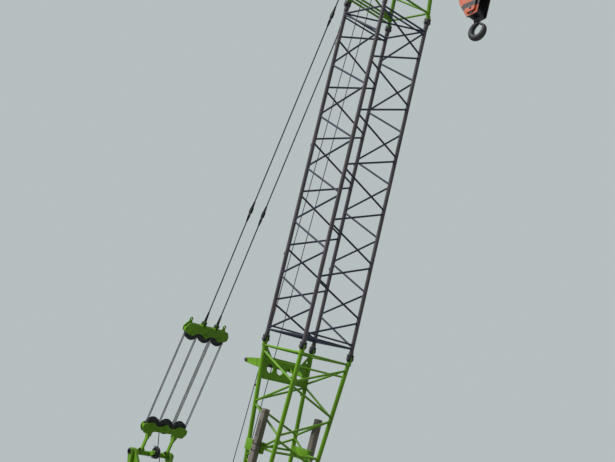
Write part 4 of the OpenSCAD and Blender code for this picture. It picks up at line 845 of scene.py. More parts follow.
SHEAVE_PITCH, ROPE_GROOVE = 0.092, 0.03
HEAD_SHEAVE_R, BLOCK_SHEAVE_R = 0.29, 0.25
HEAD_ROWS = (-0.262, -0.17, 0.17, 0.262)
BLOCK_ROWS = (-SHEAVE_PITCH, 0.0, SHEAVE_PITCH)
BLOCK_Z = 15.7
LEAD_WHEEL, LEAD_WHEEL_R, LEAD_Y = (21.9, 0.45), 0.24, 0.135


def sheave_form(r, width, bore, groove):
    """Rope sheave about Z: hub, dished web and grooved rim."""
    half, web = width / 2, width * 0.16
    hub, rim = min(bore * 1.7, r * 0.5), r - groove - 0.022
    return hoop(both([(bore, -half), (hub, -half), (hub + 0.008, -web), (rim - 0.012, -web), (rim, -half),
        (r - 0.003, -half), (r, -half * 0.86), (r - groove, -min(half * 0.3, groove * 0.4)),
        (r - groove - 0.004, 0)]), 48)


def wheels(name, body, node, centres, r, width, bore, base=FLAT):
    """Sheaves of one size on a shaft."""
    p = Piece(name, "sheave", base=base)
    for centre in centres:
        p.add(sheave_form(r, width, bore, ROPE_GROOVE), across(centre))
    p.done(body, node)


def arc_points(centre, r, start, end, steps, y=0.0):
    """Points of an arc in an XZ plane, angles in degrees from +X towards +Z."""
    angles = [radians(start + (end - start) * k / steps) for k in range(steps + 1)]
    return [Vector((centre[0] + r * cos(a), y, centre[1] + r * sin(a))) for a in angles]


def bridle_plates(p, way, arch):
    """Two lobed plates with pins, spacers and keepers; way is the carrier's side."""
    lobes = [(0.26 - arch, 0), (0.26 - arch, 0.322), (0.26, 0.46), (0.26, 0.67), (0.12, 0.76), (0, 0.745),
        (-0.045, 0.65), (-0.075, 0.5), (-0.075, 0.42), (0.015, 0.3128), (0.015, 0.1472), (-0.075, 0.04)]
    outline = rounded([(way * u, v) for u, v in both(lobes)], 0.035)
    rows = [k * BRIDLE_PITCH for k in (-1, 0, 1)]
    for side in SIDES:
        p.plate(outline, BRIDLE_PLATE, shift(z=side * MIDDLE))
        for y in rows:
            for r, height, sides in ((0.075, 0.012, 28), (0.045, 0.02, 24)):
                p.tube((0, y, side * OUTER), (0, y, side * (OUTER + height)), r, sides)
            p.box((0.038, y - 0.05, side * (OUTER + 0.012)), (0.058, y + 0.05, side * (OUTER + 0.024)),
                0.002)
            for e in SIDES:
                p.bolt((0.048, y + e * 0.036, side * (OUTER + 0.02)), (0, 0, side), 0.008, 0.01, 1)
    for y in rows:
        p.tube((0, y, -INNER), (0, y, INNER), 0.045, 24, 1)
    for y, spots in ((-0.72, (0.03, 0.09)), (-0.23, (0.16,)), (0.23, (0.16,)), (0.72, (0.03, 0.09))):
        if len(spots) > 1:
            p.box((way * 0.06 - 0.05, y - 0.015, -INNER - 0.001), (way * 0.06 + 0.05, y + 0.015,
                INNER + 0.001), 0.002)
        else:
            p.tube((way * 0.16, y, -INNER), (way * 0.16, y, INNER), 0.025, 20)
        for x in spots:
            for e in SIDES:
                p.bolt((way * x, y, e * OUTER), (0, 0, e), 0.014, 0.014)


def bridle_sheaves(name, place, body, node):
    p = Piece(name, "sheave", base=place)
    for k in (-1, 0, 1):
        for side in SIDES:
            p.add(sheave_form(BRIDLE_SHEAVE_R - 0.0006, INNER - 0.001, 0.0455, BRIDLE_GROOVE),
                shift(0, k * BRIDLE_PITCH, side * INNER / 2))
    p.done(body, node)


def lower_bridle():
    p = Piece("lower_bridle_frame", "green", "pin", "black", base=LOWER_BRIDLE)
    bridle_plates(p, -1, 0.08)
    end = ARM - BRIDLE_SHEAVE_R - 0.015
    for side in SIDES:
        p.base = PULL @ shift(y=side * 0.44)
        p.plate(both([(-0.055, -0.03), (-0.03, -0.055), (0.15, -0.055), (end, -0.055)]), 0.05, 0, 0.006)
        for e in SIDES:
            z = e * MIDDLE
            p.box((end - 0.19, -0.025, z - 0.015), (end, 0.025, z + 0.015), 0.004)
            z += e * 0.015
            p.box((end - 0.1, -0.05, z - 0.008), (end + 0.05, 0.05, z + 0.008), 0.003)
            p.pin((0, e * 0.068, 0), 0.012, 0.05, paint=2)
        p.pin((0, 0, 0), 0.15, 0.032, paint=1)
    p.done("upper_works", "lower_bridle")
    bridle_sheaves("lower_bridle_wheels", LOWER_BRIDLE, "upper_works", "lower_bridle_sheaves")


def upper_bridle():
    p = Piece("upper_bridle_frame", "green", "pin", "black", base=UPPER_BRIDLE)
    bridle_plates(p, 1, 0.0)
    for side in SIDES:
        y = side * 0.59
        eye = both([(0.023, -0.015), (0.052, -0.015), (0.057, 0)])
        p.add(hoop(eye + [(0.02, 0)], 28), shift(0.355, y, MIDDLE))
        p.plate(rounded([(0.2, y - 0.07), (0.32, y - 0.045), (0.32, y + 0.045), (0.2, y + 0.07)], 0.01),
            0.028, shift(z=MIDDLE), 0.003)
        y = side * PENDANT_Y
        for e in SIDES:
            p.plate([(0.235, -0.13), (0.38, -0.125), (0.405, -0.1), (0.405, -0.04), (0.38, -0.015),
                (0.235, 0.06)], 0.024, y + e * 0.0373, 0.003)
            p.pin((0.35, y + e * 0.058, -0.07), 0.012, 0.05, paint=2)
        p.pin((0.35, y, -0.07), 0.13, 0.035, paint=1)
    p.done("boom", "upper_bridle")
    bridle_sheaves("upper_bridle_wheels", UPPER_BRIDLE, "boom", "upper_bridle_sheaves")


def pendants():
    """Pendant ropes with open and closed sockets at their joints."""
    p = Piece("pendant_lines", "rope", "black", "pin")
    reach = LINK.length
    for side in SIDES:
        p.base = PENDANTS @ shift(y=side * PENDANT_Y)
        p.rope([(0.2, 0, 0), (reach - 0.2, 0, 0)], PENDANT_R, 14)
        for x, way, bore in ((0.0, 1, 0.0353), (reach, -1, 0.0403)):
            p.add(hoop(both([(bore, -0.025), (0.07, -0.025), (0.075, -0.018)]), 28), across((x, 0, 0)), 1)
            p.tube((x + way * 0.06, 0, 0), (x + way * 0.34, 0, 0), 0.04, 20, 1, 0.024)
        for x in (3.28, 9.16):
            p.tube((x - 0.16, 0, 0), (x + 0.02, 0, 0), 0.024, 20, 1, 0.04)
            p.plate(both([(x, -0.042), (x + 0.13, -0.05), (x + 0.16, -0.03)]), 0.026, 0, 0.004, 1)
            for e in SIDES:
                p.plate(both([(x + 0.09, -0.03), (x + 0.12, -0.05), (x + 0.25, -0.042)]), 0.016,
                    e * 0.024, 0.003, 1)
            p.tube((x + 0.24, 0, 0), (x + 0.44, 0, 0), 0.04, 20, 1, 0.024)
            p.pin((x + 0.125, 0, 0), 0.1, 0.02, paint=2)
    p.done("boom", "pendants")


def reeving():
    """Lines between the bridles, and the lead line to the boom drum."""
    p = Piece("boom_reeving", "bright_rope")
    low = Piece("lower_bridle_turns", "rope", base=LOWER_BRIDLE)
    high = Piece("upper_bridle_turns", "rope", base=UPPER_BRIDLE)
    r = sizes().reeving_rope / 2
    reach = BRIDLE_SHEAVE_R - BRIDLE_GROOVE + r
    for k in (-1, 0, 1):
        for layer in SIDES:
            y, z = k * BRIDLE_PITCH, layer * INNER / 2
            for e in SIDES:
                if (k, layer, e) != (0, -1, -1):
                    spot = Vector((0, y + e * reach, z))
                    p.rope([LOWER_BRIDLE @ spot, UPPER_BRIDLE @ spot], r)
            for turns, way in ((low, -1), (high, 1)):
                turns.rope([(way * reach * sin(a), y + reach * cos(a), z)
                    for a in (radians(d) for d in range(0, 181, 15))], r)
    obj = p.done()
    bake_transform(obj)
    low.done("upper_works")
    high.done("boom")
    p = Piece("boom_hoist_lead", "rope")
    p.rope([LOWER_BRIDLE @ Vector((0, -reach, -INNER / 2)), *arc_points((-3.05, 6.32), 0.144 + r, 60, -8,
        6), *arc_points((-2.42, 2.0103), 0.2705, -8, -30, 3, 0.02)], r)
    p.done("upper_works")


def backstops():
    """Box tubes with telescoping ends, bolted through grips on the butt."""
    p = Piece("backstop_tubes", "weathered", "black", "pin")
    top, half = 4.62, 0.077
    lengths = [(0.22, top, half, 0.012, 0), (0.0, 0.23, 0.065, 0.008, 1), (0.0, 0.03, 0.075, 0.006, 2),
        (0.214, 0.238, half + 0.008, 0.004, 0), (top - 0.001, top + 0.002, half - 0.012, 0.001, 1)]
    lengths += [(x - 0.05, x + 0.05, half + 0.006, 0.004, 0) for x in (1.0, 2.1, 3.2)]
    for side in SIDES:
        p.base = BOOM @ shift(0.45, side * 0.88, 0.125) @ turn(atan2(0.15, top), "Y")
        for x0, x1, size, bevel, paint in lengths:
            p.box((x0, -size, -size), (x1, size, size), bevel, paint)
        for x in (0.72, 0.88, 3.62, 3.78):
            for z in (0.045, -0.045):
                p.bolt((x, side * (half + 0.002), z), (0, side, 0), 0.018, 0.016, 2)
        for z in (-0.03, 0.0, 0.03):
            p.box((3.95, side * half - 0.002, z - 0.004), (4.35, side * half + 0.002, z + 0.004), 0, 1)
    p.done("boom", "backstops")


class CRANE_OT_suspension(bpy.types.Operator):
    """Make the bridles, pendants and the ropes between them"""

    bl_idname = "crane.suspension"
    bl_label = "Boom suspension"

    def execute(self, context):
        lower_bridle()
        upper_bridle()
        pendants()
        reeving()
        backstops()
        return {"FINISHED"}


class CRANE_OT_boom_head(bpy.types.Operator):
    """Make the head's plates, its sheaves and the nose wheel"""

    bl_idname = "crane.boom_head"
    bl_label = "Boom head"

    def execute(self, context):
        p = Piece("head_side_plates", "green", "pin", "black", base=BOOM @ shift(SHAFT_S))
        plate = [(-1.94, -0.585), (-0.2, -0.86), (0.05, -0.84), (0.16, -0.76), (0.2, -0.6), (0.2, -0.46),
            (-0.14, 0.5), (-0.22, 0.56), (-0.42, 0.56), (-1.94, 0.585)]
        nose = [(-0.5, -0.42), (-0.3, -0.7), (1.12, -1.135), (1.19, -1.1), (1.21, -0.96), (0.1, 0.1),
            (-0.5, 0.2)]
        holes = [(-1.39, 0.12, 0.15), (-1.32, -0.3, 0.13), (-0.62, 0.0, 0.1)]
        for side in SIDES:
            y = side * HEAD_Y
            p.plate(plate, 0.04, y, holes=holes)
            for u, v, r in holes:
                p.add(band(r, r + 0.014, 0.03), upright(u, y, v))
            p.plate(nose, 0.03, side * 0.095, holes=[(0.52, -0.62, 0.09)])
            y += side * 0.026
            for u, v, bore, r in ((0, SHAFT_N, 0.061, 0.12), (-0.3, 0.45, 0.041, 0.085)):
                p.add(band(bore, r, 0.012, 36), across((u, y, v)))
                u += r * 0.5
                p.box((u, y, v - 0.05), (u + 0.03, y + side * 0.024, v + 0.05), 0.003, 1)
        for u, v, length, r, paint in (
                (-1.5, 0.425, 0.89, 0.06, 0), (-1.5, -0.425, 0.89, 0.06, 0),
                (-0.42, -0.12, 0.89, 0.07, 0), (0, SHAFT_N, 1.02, 0.06, 1),
                (-0.3, 0.45, 1.02, 0.04, 1), (1.1, -1.02, 0.28, 0.04, 1)):
            p.pin((u, 0, v), length, r, paint=paint)
        p.done("boom", "head_plates")
        wheels("head_guide_rims", "lead_wheel_set", "head_guide_wheels",
            [(LEAD_WHEEL[0], side * LEAD_Y, LEAD_WHEEL[1]) for side in SIDES], LEAD_WHEEL_R, 0.07, 0.0403,
            BOOM)
        wheels("head_wheels", "head_sheave_set", "head_sheaves", [(HEAD_SHAFT.x, y, HEAD_SHAFT.z)
            for y in HEAD_ROWS], HEAD_SHEAVE_R, 0.08, 0.0605)
        wheels("nose_wheel_rim", "nose_wheel", "nose_sheave", [(SHAFT_S + 1.1, 0, -1.02)], 0.21, 0.15,
            0.0405, BOOM)
        return {"FINISHED"}


def block_cheeks():
    p = Piece("block_cheeks", "block", "black", "pin", base=shift(HEAD_SHAFT.x, 0, BLOCK_Z))
    cheek = 1.5 * SHEAVE_PITCH + 0.035
    outline = twin([(0.15, -0.78), (0.33, -0.3), (0.33, 0.18), (0.3, 0.22), (0.18, 0.33)])
    weight = rounded(twin([(0.11, -0.7), (0.235, -0.33), (0.235, -0.09)]), 0.03)
    for side in SIDES:
        # The black inner layer of each cheek is painted shade on the faces that look into the block
        p.plate(outline, 0.02, side * (cheek - 0.005), paint=1)
        p.plate(outline, 0.011, side * (cheek + 0.0095))
        p.plate(weight, 0.045, side * (cheek + 0.0375), 0.008)
        p.add(band(0.051, 0.11, 0.012, 36), across((0, side * (cheek + 0.027), 0)), 1)
        for u, out, v, r, height in ((0.17, 0.059, -0.22, 0.024, 0.02), (0.24, 0.014, 0.12, 0.02, 0.02),
                                     (-0.17, 0.059, -0.22, 0.024, 0.02),
                                     (-0.24, 0.014, 0.12, 0.02, 0.02), (0, 0.059, -0.6, 0.028, 0.022)):
            p.bolt((u, side * (cheek + out), v), (0, side, 0), r, height, 2)
    for u, v in ((-0.27, 0.17), (0.27, 0.17), (-0.29, -0.28), (0.29, -0.28)):
        p.pin((u, 0, v), 2 * cheek, 0.018, 12, 1)
    p.box((-0.12, -cheek, -0.78), (0.12, cheek, -0.6), 0.01, 1)
    p.pin((0, 0, 0), 2 * cheek + 0.09, 0.05, paint=2)
    p.pin((0, 0, -0.69), 2 * cheek + 0.07, 0.055, paint=2)
    p.done("block", "hook_block")


def hook():
    """Forged hook: shank, nut, thick back, tapering point and a spring latch."""
    p = Piece("load_hook_forging", "forged", "pin", base=shift(HEAD_SHAFT.x, 0, BLOCK_Z - 0.78))
    p.tube((0, 0, -0.16), (0, 0, 0.24), 0.045, 32)
    p.turned([(0, 0.18), (0.078, 0.18), (0.08, 0.184), (0.08, 0.228), (0.076, 0.232), (0, 0.232)], FLAT,
        6)
    p.turned([(0, -0.13), (0.07, -0.13), (0.075, -0.12), (0.075, -0.02), (0.07, -0.01), (0, -0.01)], FLAT,
        40)
    swing, steps = 0.185, 34
    bend = -0.18 - swing
    stations = ((0, 0.052), (0.12, 0.066), (0.3, 0.077), (0.65, 0.079), (0.8, 0.074), (0.92, 0.06),
        (1.0, 0.038))
    radii = []
    for t in (k / steps for k in range(steps + 1)):
        (t0, r0), (t1, r1) = next((a, b) for a, b in zip(stations, stations[1:]) if t <= b[0])
        radii.append(r0 + (r1 - r0) * (t - t0) / (t1 - t0))
    spots = arc_points((0, bend), swing, 90, 380, steps)
    p.add(swept([(0, 0, -0.1), *spots], 0, 24, [0.047, *radii])[0])
    p.turned([(0, -0.012), (0.022, -0.01), (0.022, 0.01), (0, 0.012)], shift(*spots[-1]) @ turn(0.4, "Y"),
        20)
    hinge, tip = Vector((0.055, 0, bend + 0.19)), spots[-1] + Vector((-0.01, 0, 0.02))
    for side in SIDES:
        p.tube(hinge + Vector((0, side * 0.034, 0)), tip + Vector((0, side * 0.02, 0)), 0.008, 10, 1)
    p.pin(hinge, 0.085, 0.01, 16, 1)
    p.base = p.base @ rise(hinge, tip)
    p.box((-0.012, -0.03, 0), (0.012, 0.03, (tip - hinge).length))
    p.done("load_hook", "hook")


class CRANE_OT_hook_block(bpy.types.Operator):
    """Make the hook block, its sheaves and the hook"""

    bl_idname = "crane.hook_block"
    bl_label = "Hook block"

    def execute(self, context):
        block_cheeks()
        wheels("block_wheels", "block_sheave_set", "block_sheaves", [(HEAD_SHAFT.x, y, BLOCK_Z)
            for y in BLOCK_ROWS], BLOCK_SHEAVE_R, 0.08, 0.0505)
        hook()
        return {"FINISHED"}


def lead_ropes(r):
    """Ropes from the drum to the butt's guide, and on over the head."""
    low, high = Piece("hoist_lead_low", "rope"), Piece("hoist_lead_high", "rope", base=BOOM)
    for side in SIDES:
        drum = Vector((-0.7433, side * 0.2, 2.1118))
        guide = Vector((6.1, side * 0.2, 1.4353))
        at_guide = BOOM @ guide
        low.rope([drum, drum.lerp(at_guide, 0.022), at_guide], r)
        over = arc_points(LEAD_WHEEL, LEAD_WHEEL_R - ROPE_GROOVE + r, 92, 18.5, 8, side * LEAD_Y)
        high.rope([guide, *over, (22.457, side * 0.262, -0.514)], r)
    obj = low.done()
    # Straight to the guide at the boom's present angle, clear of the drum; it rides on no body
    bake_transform(obj)
    high.done("boom", "hoist_leads")


class CRANE_OT_hoist_ropes(bpy.types.Operator):
    """Make the hoist ropes from the drum over the head to the block"""

    bl_idname = "crane.hoist_ropes"
    bl_label = "Hoist ropes"

    def execute(self, context):
        r = sizes().rope / 2
        x, z = HEAD_SHAFT.x, HEAD_SHAFT.z
        top, low = HEAD_SHEAVE_R - ROPE_GROOVE + r, BLOCK_SHEAVE_R - ROPE_GROOVE + r
        p = Piece("hoist_lines", "rope")
        for y_low, y_top, e in ((-0.092, -0.262, 1), (-0.092, -0.17, -1), (0.0, -0.17, 1),
                (0.0, 0.17, -1), (0.092, 0.17, 1), (0.092, 0.262, -1)):
            p.rope([(x + e * low, y_low, BLOCK_Z), (x + e * top, y_top, z)], r)
        obj = p.done()
        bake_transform(obj)
        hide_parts("hoist_falls")
        for name, body, rows, height, reach, start in (
                ("head_turns", "falls", HEAD_ROWS, z, top, 0),
                ("block_turns", "block", BLOCK_ROWS, BLOCK_Z, low, 180)):
            p = Piece(name, "rope")
            for y in rows:
                p.rope(arc_points((x, height), reach, start, start + 180, 14, y), r)
            p.done(body)
        lead_ropes(r)
        return {"FINISHED"}


# Crawlers
HALF_RUN, LOOP_R, SIDE_Y, SHOES = 2.6, 0.5, 2.0, 58
HALF_LOOP = 2 * HALF_RUN + pi * LOOP_R
SHOE_PITCH = 2 * HALF_LOOP / SHOES
ROLLER_Z, ROLLER_XS = 0.2053, [k * 0.409 - 2.045 for k in range(11)]
CARRIER_Z, CARRIER_XS = 0.8047, (-1.3, 0, 1.3)
FRAME_LOW_Z, FRAME_HIGH_Z, FRAME_END = 0.3123, 0.7077, 2.18


def loop_place(s):
    """Matrix of the track's shoe at arc length s: +X along the travel, +Z outwards."""
    halves, s = divmod(s, HALF_LOOP)
    a = min(max(s - HALF_RUN, 0) / LOOP_R, pi)
    return (shift(z=LOOP_R) @ turn(halves * pi, "Y") @ shift(HALF_RUN) @ turn(pi - a, "Y")
        @ shift(HALF_RUN + a * LOOP_R - s, 0, LOOP_R))


def track(name, y):
    """Shoes with a grouser each over two rows of links, a few faces a shoe."""
    p = Piece(f"{name}_track_chain", "tread")
    front = SHOE_PITCH / 2 - 0.011
    profile = [(-front, -0.052), (front, -0.052), (front, -0.02), (front - 0.034, 0.0),
        (front - 0.062, 0.0), (front - 0.068, -0.026), (-front, -0.026)]
    for k in range(SHOES):
        p.base = shift(y=y) @ loop_place(k * SHOE_PITCH)
        p.plate(profile, 0.85, 0, 0)
        for e in SIDES:
            p.plate(rect(-0.085, -0.11, 0.085, -0.052), 0.045, e * 0.12, 0)
    p.done("undercarriage", f"track_{name}")


def side_frame(name, y):
    p = Piece(f"{name}_crawler_frame", "green", "black", "pin", base=shift(y=y))
    half, bends = 0.24, (0.5, 1.05, 1.57, 2.09, 2.64)
    p.plate(rect(-FRAME_END, FRAME_LOW_Z, FRAME_END, FRAME_HIGH_Z), 2 * half, 0, 0.012)
    runner = [(-HALF_RUN, 0.35), (HALF_RUN, 0.35), *crown(HALF_RUN, 0.5, 0.15, bends, -0.15),
        (HALF_RUN, 0.65), (-HALF_RUN, 0.65), *crown(-HALF_RUN, 0.5, -0.15, bends, 0.15)]
    for e in SIDES:
        for x in (k * 0.6 for k in range(-3, 4)):
            p.box((x - 0.22, e * (half - 0.004), 0.4), (x + 0.22, e * (half + 0.012), 0.62), 0.01,
                segments=1)
            p.box((x - 0.15, e * (half + 0.004), 0.44), (x + 0.15, e * (half + 0.018), 0.58), segments=1)
        hang = e * 0.1505
        for outline in (rect(-FRAME_END, 0.14, FRAME_END, 0.33), runner,
                        *([(x - 0.09, FRAME_HIGH_Z - 0.02), (x + 0.09, FRAME_HIGH_Z - 0.02),
                           (x + 0.05, 0.855), (x - 0.05, 0.855)] for x in CARRIER_XS)):
            p.plate(outline, 0.045, hang, 0.005)
        for x in ROLLER_XS:
            for dx in (-0.055, 0.055):
                p.bolt((x + dx, hang + e * 0.0225, 0.27), (0, e, 0), 0.016, 0.016, 2)
        p.box((2.3, hang - 0.03, 0.42), (2.48, hang + 0.03, 0.58), 0.008, 1)
        p.box((2.02, hang - 0.026, 0.455), (2.36, hang + 0.026, 0.545), 0.01)
    p.done("undercarriage", f"side_frame_{name}")


def track_wheels():
    drive = Piece("drive_wheels", "tread", "iron", "pin")
    idlers = Piece("idler_wheels", "tread", "iron", "pin")
    rollers = Piece("roller_set", "tread", "pin")
    for side in SIDES:
        sprocket(drive, side)
        idlers.base = shift(HALF_RUN, side * SIDE_Y, LOOP_R)
        idlers.turned(both([(0, -0.12), (0.1, -0.12), (0.11, -0.05), (0.24, -0.045), (0.3, -0.12),
            (0.366, -0.12), (0.37, -0.075), (0.3897, -0.07)]), across())
        idlers.pin((0, 0, 0), 0.4, 0.06, 28, 2)
        for e in SIDES:
            idlers.pin((0, e * 0.205, 0), 0.03, 0.085, 28, 1)
            for u, v in ring(6, 0.062):
                idlers.bolt((u, e * 0.22, v), (0, e, 0), 0.01, 0.01, 2)
        rollers.base = shift(y=side * SIDE_Y)
        for x in ROLLER_XS:
            rollers.turned(both([(0, -0.12), (0.094, -0.12), (0.095, -0.112), (0.095, -0.088),
                (0.082, -0.082)]), across((x, 0, ROLLER_Z)), 24)
            rollers.pin((x, 0, ROLLER_Z), 0.366, 0.028, 14, 1)
            for e in SIDES:
                rollers.pin((x, e * 0.148, ROLLER_Z), 0.06, 0.046, 16, 1)
        for x in CARRIER_XS:
            rollers.turned(both([(0, -0.12), (0.084, -0.12), (0.085, -0.112)]), across((x, 0, CARRIER_Z)),
                28)
            rollers.pin((x, 0, CARRIER_Z), 0.366, 0.028, 14, 1)
    for p, node in ((drive, "drive_sprockets"), (idlers, "idlers"), (rollers, "track_rollers")):
        p.done("undercarriage", node)


def sprocket(p, side):
    """Toothed rim on its disc, with the drive housing inboard and the cap outboard."""
    p.base = shift(-HALF_RUN, side * SIDE_Y, LOOP_R)
    teeth = [((k + share) * tau / 13, r) for k in range(13) for share,
        r in ((-0.3, 0.388), (-0.16, 0.389), (0.16, 0.389), (0.3, 0.386), (0.4, 0.345), (0.5, 0.335),
        (0.6, 0.345))]
    holes = [(u, v, 0.042) for u, v in ring(8, 0.262)]
    for e in SIDES:
        p.plate([(r * cos(a), r * sin(a)) for a, r in teeth], 0.06, e * 0.085, holes=holes)
    for y, length, r, sides, paint, edge in (
            (0, 0.24, 0.19, 40, 1, 0.004), (0, 0.45, 0.06, 28, 2, 0.004),
            (0.2325, 0.115, 0.19, 40, 1, 0.012), (0.286, 0.016, 0.12, 32, 1, 0.004),
            (-0.248, 0.14, 0.21, 40, 1, 0.012)):
        p.pin((0, side * y, 0), length, r, sides, paint, edge)
    for u, v in ring(12, 0.155):
        p.bolt((u, side * 0.29, v), (0, side, 0), 0.012, 0.012, 2)


class CRANE_OT_crawlers(bpy.types.Operator):
    """Make the tracks, their frames, wheels and rollers"""

    bl_idname = "crane.crawlers"
    bl_label = "Crawlers"

    def execute(self, context):
        for name, y in (("left", SIDE_Y), ("right", -SIDE_Y)):
            track(name, y)
            side_frame(name, y)
        track_wheels()
        return {"FINISHED"}


class CRANE_OT_car_body(bpy.types.Operator):
    """Make the car body between the crawlers, and the slewing ring"""

    bl_idname = "crane.car_body"
    bl_label = "Car body and slewing ring"

    def execute(self, context):
        p = Piece("car_body_box", "green", "black", "pin")
        p.box((-1.15, -1.0, 0.44), (1.15, 1.0, 0.985), 0.014)
        p.box((-1.15, -1.0, 0.97), (1.15, 1.0, 1.0))
        low, high = FRAME_LOW_Z + 0.01, FRAME_HIGH_Z - 0.01
        for e in SIDES:
            for x in (-0.98, 0.98):
                p.box((x - 0.26, e * 0.99, low), (x + 0.26, e * 1.76, high), 0.012)
                p.box((x - 0.275, e * 1.7, low - 0.008), (x + 0.275, e * 1.76, high + 0.008))
                for dx in (-0.24, 0.24):
                    p.plate([(e, high - 0.01), (e * 1.34, high - 0.01), (e, 0.93)], 0.025,
                        facing_x(x + dx), 0.003)
                for dz in (-0.12, 0.0, 0.12):
                    p.bolt((x - 0.2, e * 1.7, 0.51 + dz), (0, -e, 0), 0.02, 0.02, 2)
            for y in (-0.55, 0.0, 0.55):
                p.box((e * 1.14, y - 0.2, 0.56), (e * 1.162, y + 0.2, 0.86), 0.008)
            for y in (-0.95, 0.9):
                p.box((e * 1.15, y, 0.47), (e * 1.21, y + 0.05, 0.6), 0.004, 1)
        p.done("undercarriage", "car_body")
        for name, z, body, bolts in (("lower", 1.0, "undercarriage", 40),
                ("upper", 1.0903, "upper_works", 0)):
            p = Piece(f"slew_ring_{name}_race", "machined", "pin")
            p.add(hoop([(0.78, 0.0), (0.95, 0.0), (0.95, 0.085), (0.945, 0.09), (0.78, 0.09)], 96),
                shift(z=z))
            for u, v in ring(bolts, 0.865):
                p.bolt((u, v, z - 0.001), (0, 0, -1), 0.016, 0.002, 1)
            p.done(body, f"slew_ring_{name}")
        return {"FINISHED"}


# Upper works
FLOOR_Z, DECK_Z = 1.1803, 1.4503
DRUM_Z, DRUM_XS = 2.0103, (-0.5, -1.46, -2.42)


def revolving_frame():
    p = Piece("revolving_frame_plates", "green", "black", "pin")
    under = DECK_Z - 0.12
    for low, high, bevel in (
            ((-3.65, -0.8, FLOOR_Z), (1.25, 0.8, DECK_Z), 0.008),
            ((-3.65, 0.799, under), (-0.4, 1.65, DECK_Z), 0.008),
            ((-3.65, -1.65, under), (1.25, -0.799, DECK_Z), 0.008),
            ((0.1, 0.799, FLOOR_Z), (2.05, 1.99, FLOOR_Z + 0.08), 0.006),
            ((0.65, 0.799, under), (0.91, 0.948, DECK_Z), 0.006),
            ((1.248, -0.5, 1.23), (1.262, 0.5, 1.4), 0.004)):
        p.box(low, high, bevel)
    for side in SIDES:
        for x in (-3.3, -2.5, -1.7, -0.9):
            p.plate([(side * 0.8, FLOOR_Z + 0.02), (side * 1.62, under - 0.001),
                (side * 0.8, under - 0.001)], 0.02, facing_x(x), 0.002)
        p.plate([(1.1, 1.19), (1.25, 1.19), (1.25, 1.36), (1.1, 1.44)], 0.05, side * 0.6, 0.003)
    for x in (0.3, 1.0, 1.7):
        p.plate([(0.8, FLOOR_Z + 0.081), (1.02, FLOOR_Z + 0.081), (0.8, DECK_Z - 0.02)], 0.02,
            facing_x(x), 0.002)
    for y in (-0.42, 0.0, 0.42):
        for z in (1.25, 1.38):
            p.bolt((1.262, y, z), (1, 0, 0), 0.01, 0.008, 2)
    p.done("upper_works", "revolving_frame")


def lug(p, x, z, y, half, r, angles, bevel=0.004):
    """Upright ear on the deck with a round top about a pin."""
    p.plate([(x - half[0], DECK_Z), *crown(x, z, r, angles), (x + half[1], DECK_Z)], 0.05, y, bevel)


def stands():
    p = Piece("deck_stand_plates", "green", "pin", "black", "iron")
    cheek = [(-2.74, DECK_Z), (-0.18, DECK_Z), (-0.36, DRUM_Z + 0.15), (-2.56, DRUM_Z + 0.15)]
    for side in SIDES:
        p.plate(cheek, 0.06, side * 0.51, holes=[(x, DECK_Z + 0.22, 0.1) for x in (-0.98, -1.94)])
        for x in DRUM_XS:
            if side < 0:
                motor(p, x)
                continue
            p.turned([(0, 0.002), (0.112, 0.002), (0.13, 0), (0.13, 0.016), (0.122, 0.03), (0.05, 0.03),
                (0.045, 0.036), (0, 0.036)], across((x, 0.54, DRUM_Z)), 36, 3)
            for u, v in ring(8, 0.108):
                p.bolt((x + u, 0.569, DRUM_Z + v), (0, 1, 0), 0.01, 0.01, 1)
        for e in SIDES:
            lug(p, 1.0, 1.75, side * 0.605 + e * 0.09, (0.26, 0.23), 0.16,
                (-1.4, -0.9, -0.45, 0, 0.45, 0.9, 1.4))
        p.pin((1.0, side * 0.605, 1.75), 0.29, 0.055, 32, 1)
        p.plate(rect(0.94, 1.73, 1.06, 1.77), 0.012, side * 0.751, 0.002, 1)
        for x, y in ((-1.0, 0.655), (-3.54, 0.605), (-3.54, 0.745)):
            lug(p, x, 1.8703, side * y, (0.105, 0.105), 0.084, (-1.35, -0.8, -0.4, 0, 0.4, 0.8, 1.35))
        p.box((0.69, side * 0.82, DECK_Z), (0.87, side * 0.94, 2.25), 0.008)
        p.box((0.7, side * 0.83, 2.2), (0.86, side * 0.93, 2.243), 0.004, 2)
        p.box((0.63, side * 0.82, DECK_Z), (0.7, side * 0.94, DECK_Z + 0.02), 0.003)
    p.done("upper_works", "deck_stands")


def motor(p, x):
    """Planetary gear case and hydraulic motor on the right cheek."""
    p.base = shift(x, -0.54, DRUM_Z)
    place = turn(pi / 2, "X")
    p.turned([(0, -0.001), (0.13, -0.001), (0.13, 0.022), (0.118, 0.026), (0.118, 0.1), (0.125, 0.104),
        (0.125, 0.118), (0.095, 0.14), (0, 0.14)], place, 36, 3)
    p.turned([(0, 0.139), (0.074, 0.139), (0.078, 0.15), (0.078, 0.2), (0.064, 0.21), (0, 0.21)], place,
        28, 2)
    for u, v in ring(10, 0.122):
        p.bolt((u, -0.0225, v), (0, -1, 0), 0.008, 0.008, 1)
    for z in (0.05, -0.05):
        p.rope([(0, -0.18, z), (-0.06, -0.21, z - 0.03), (-0.1, -0.215, -0.3),
            (-0.12, -0.21, DECK_Z - DRUM_Z)], 0.014, 8, 2)
    p.base = FLAT


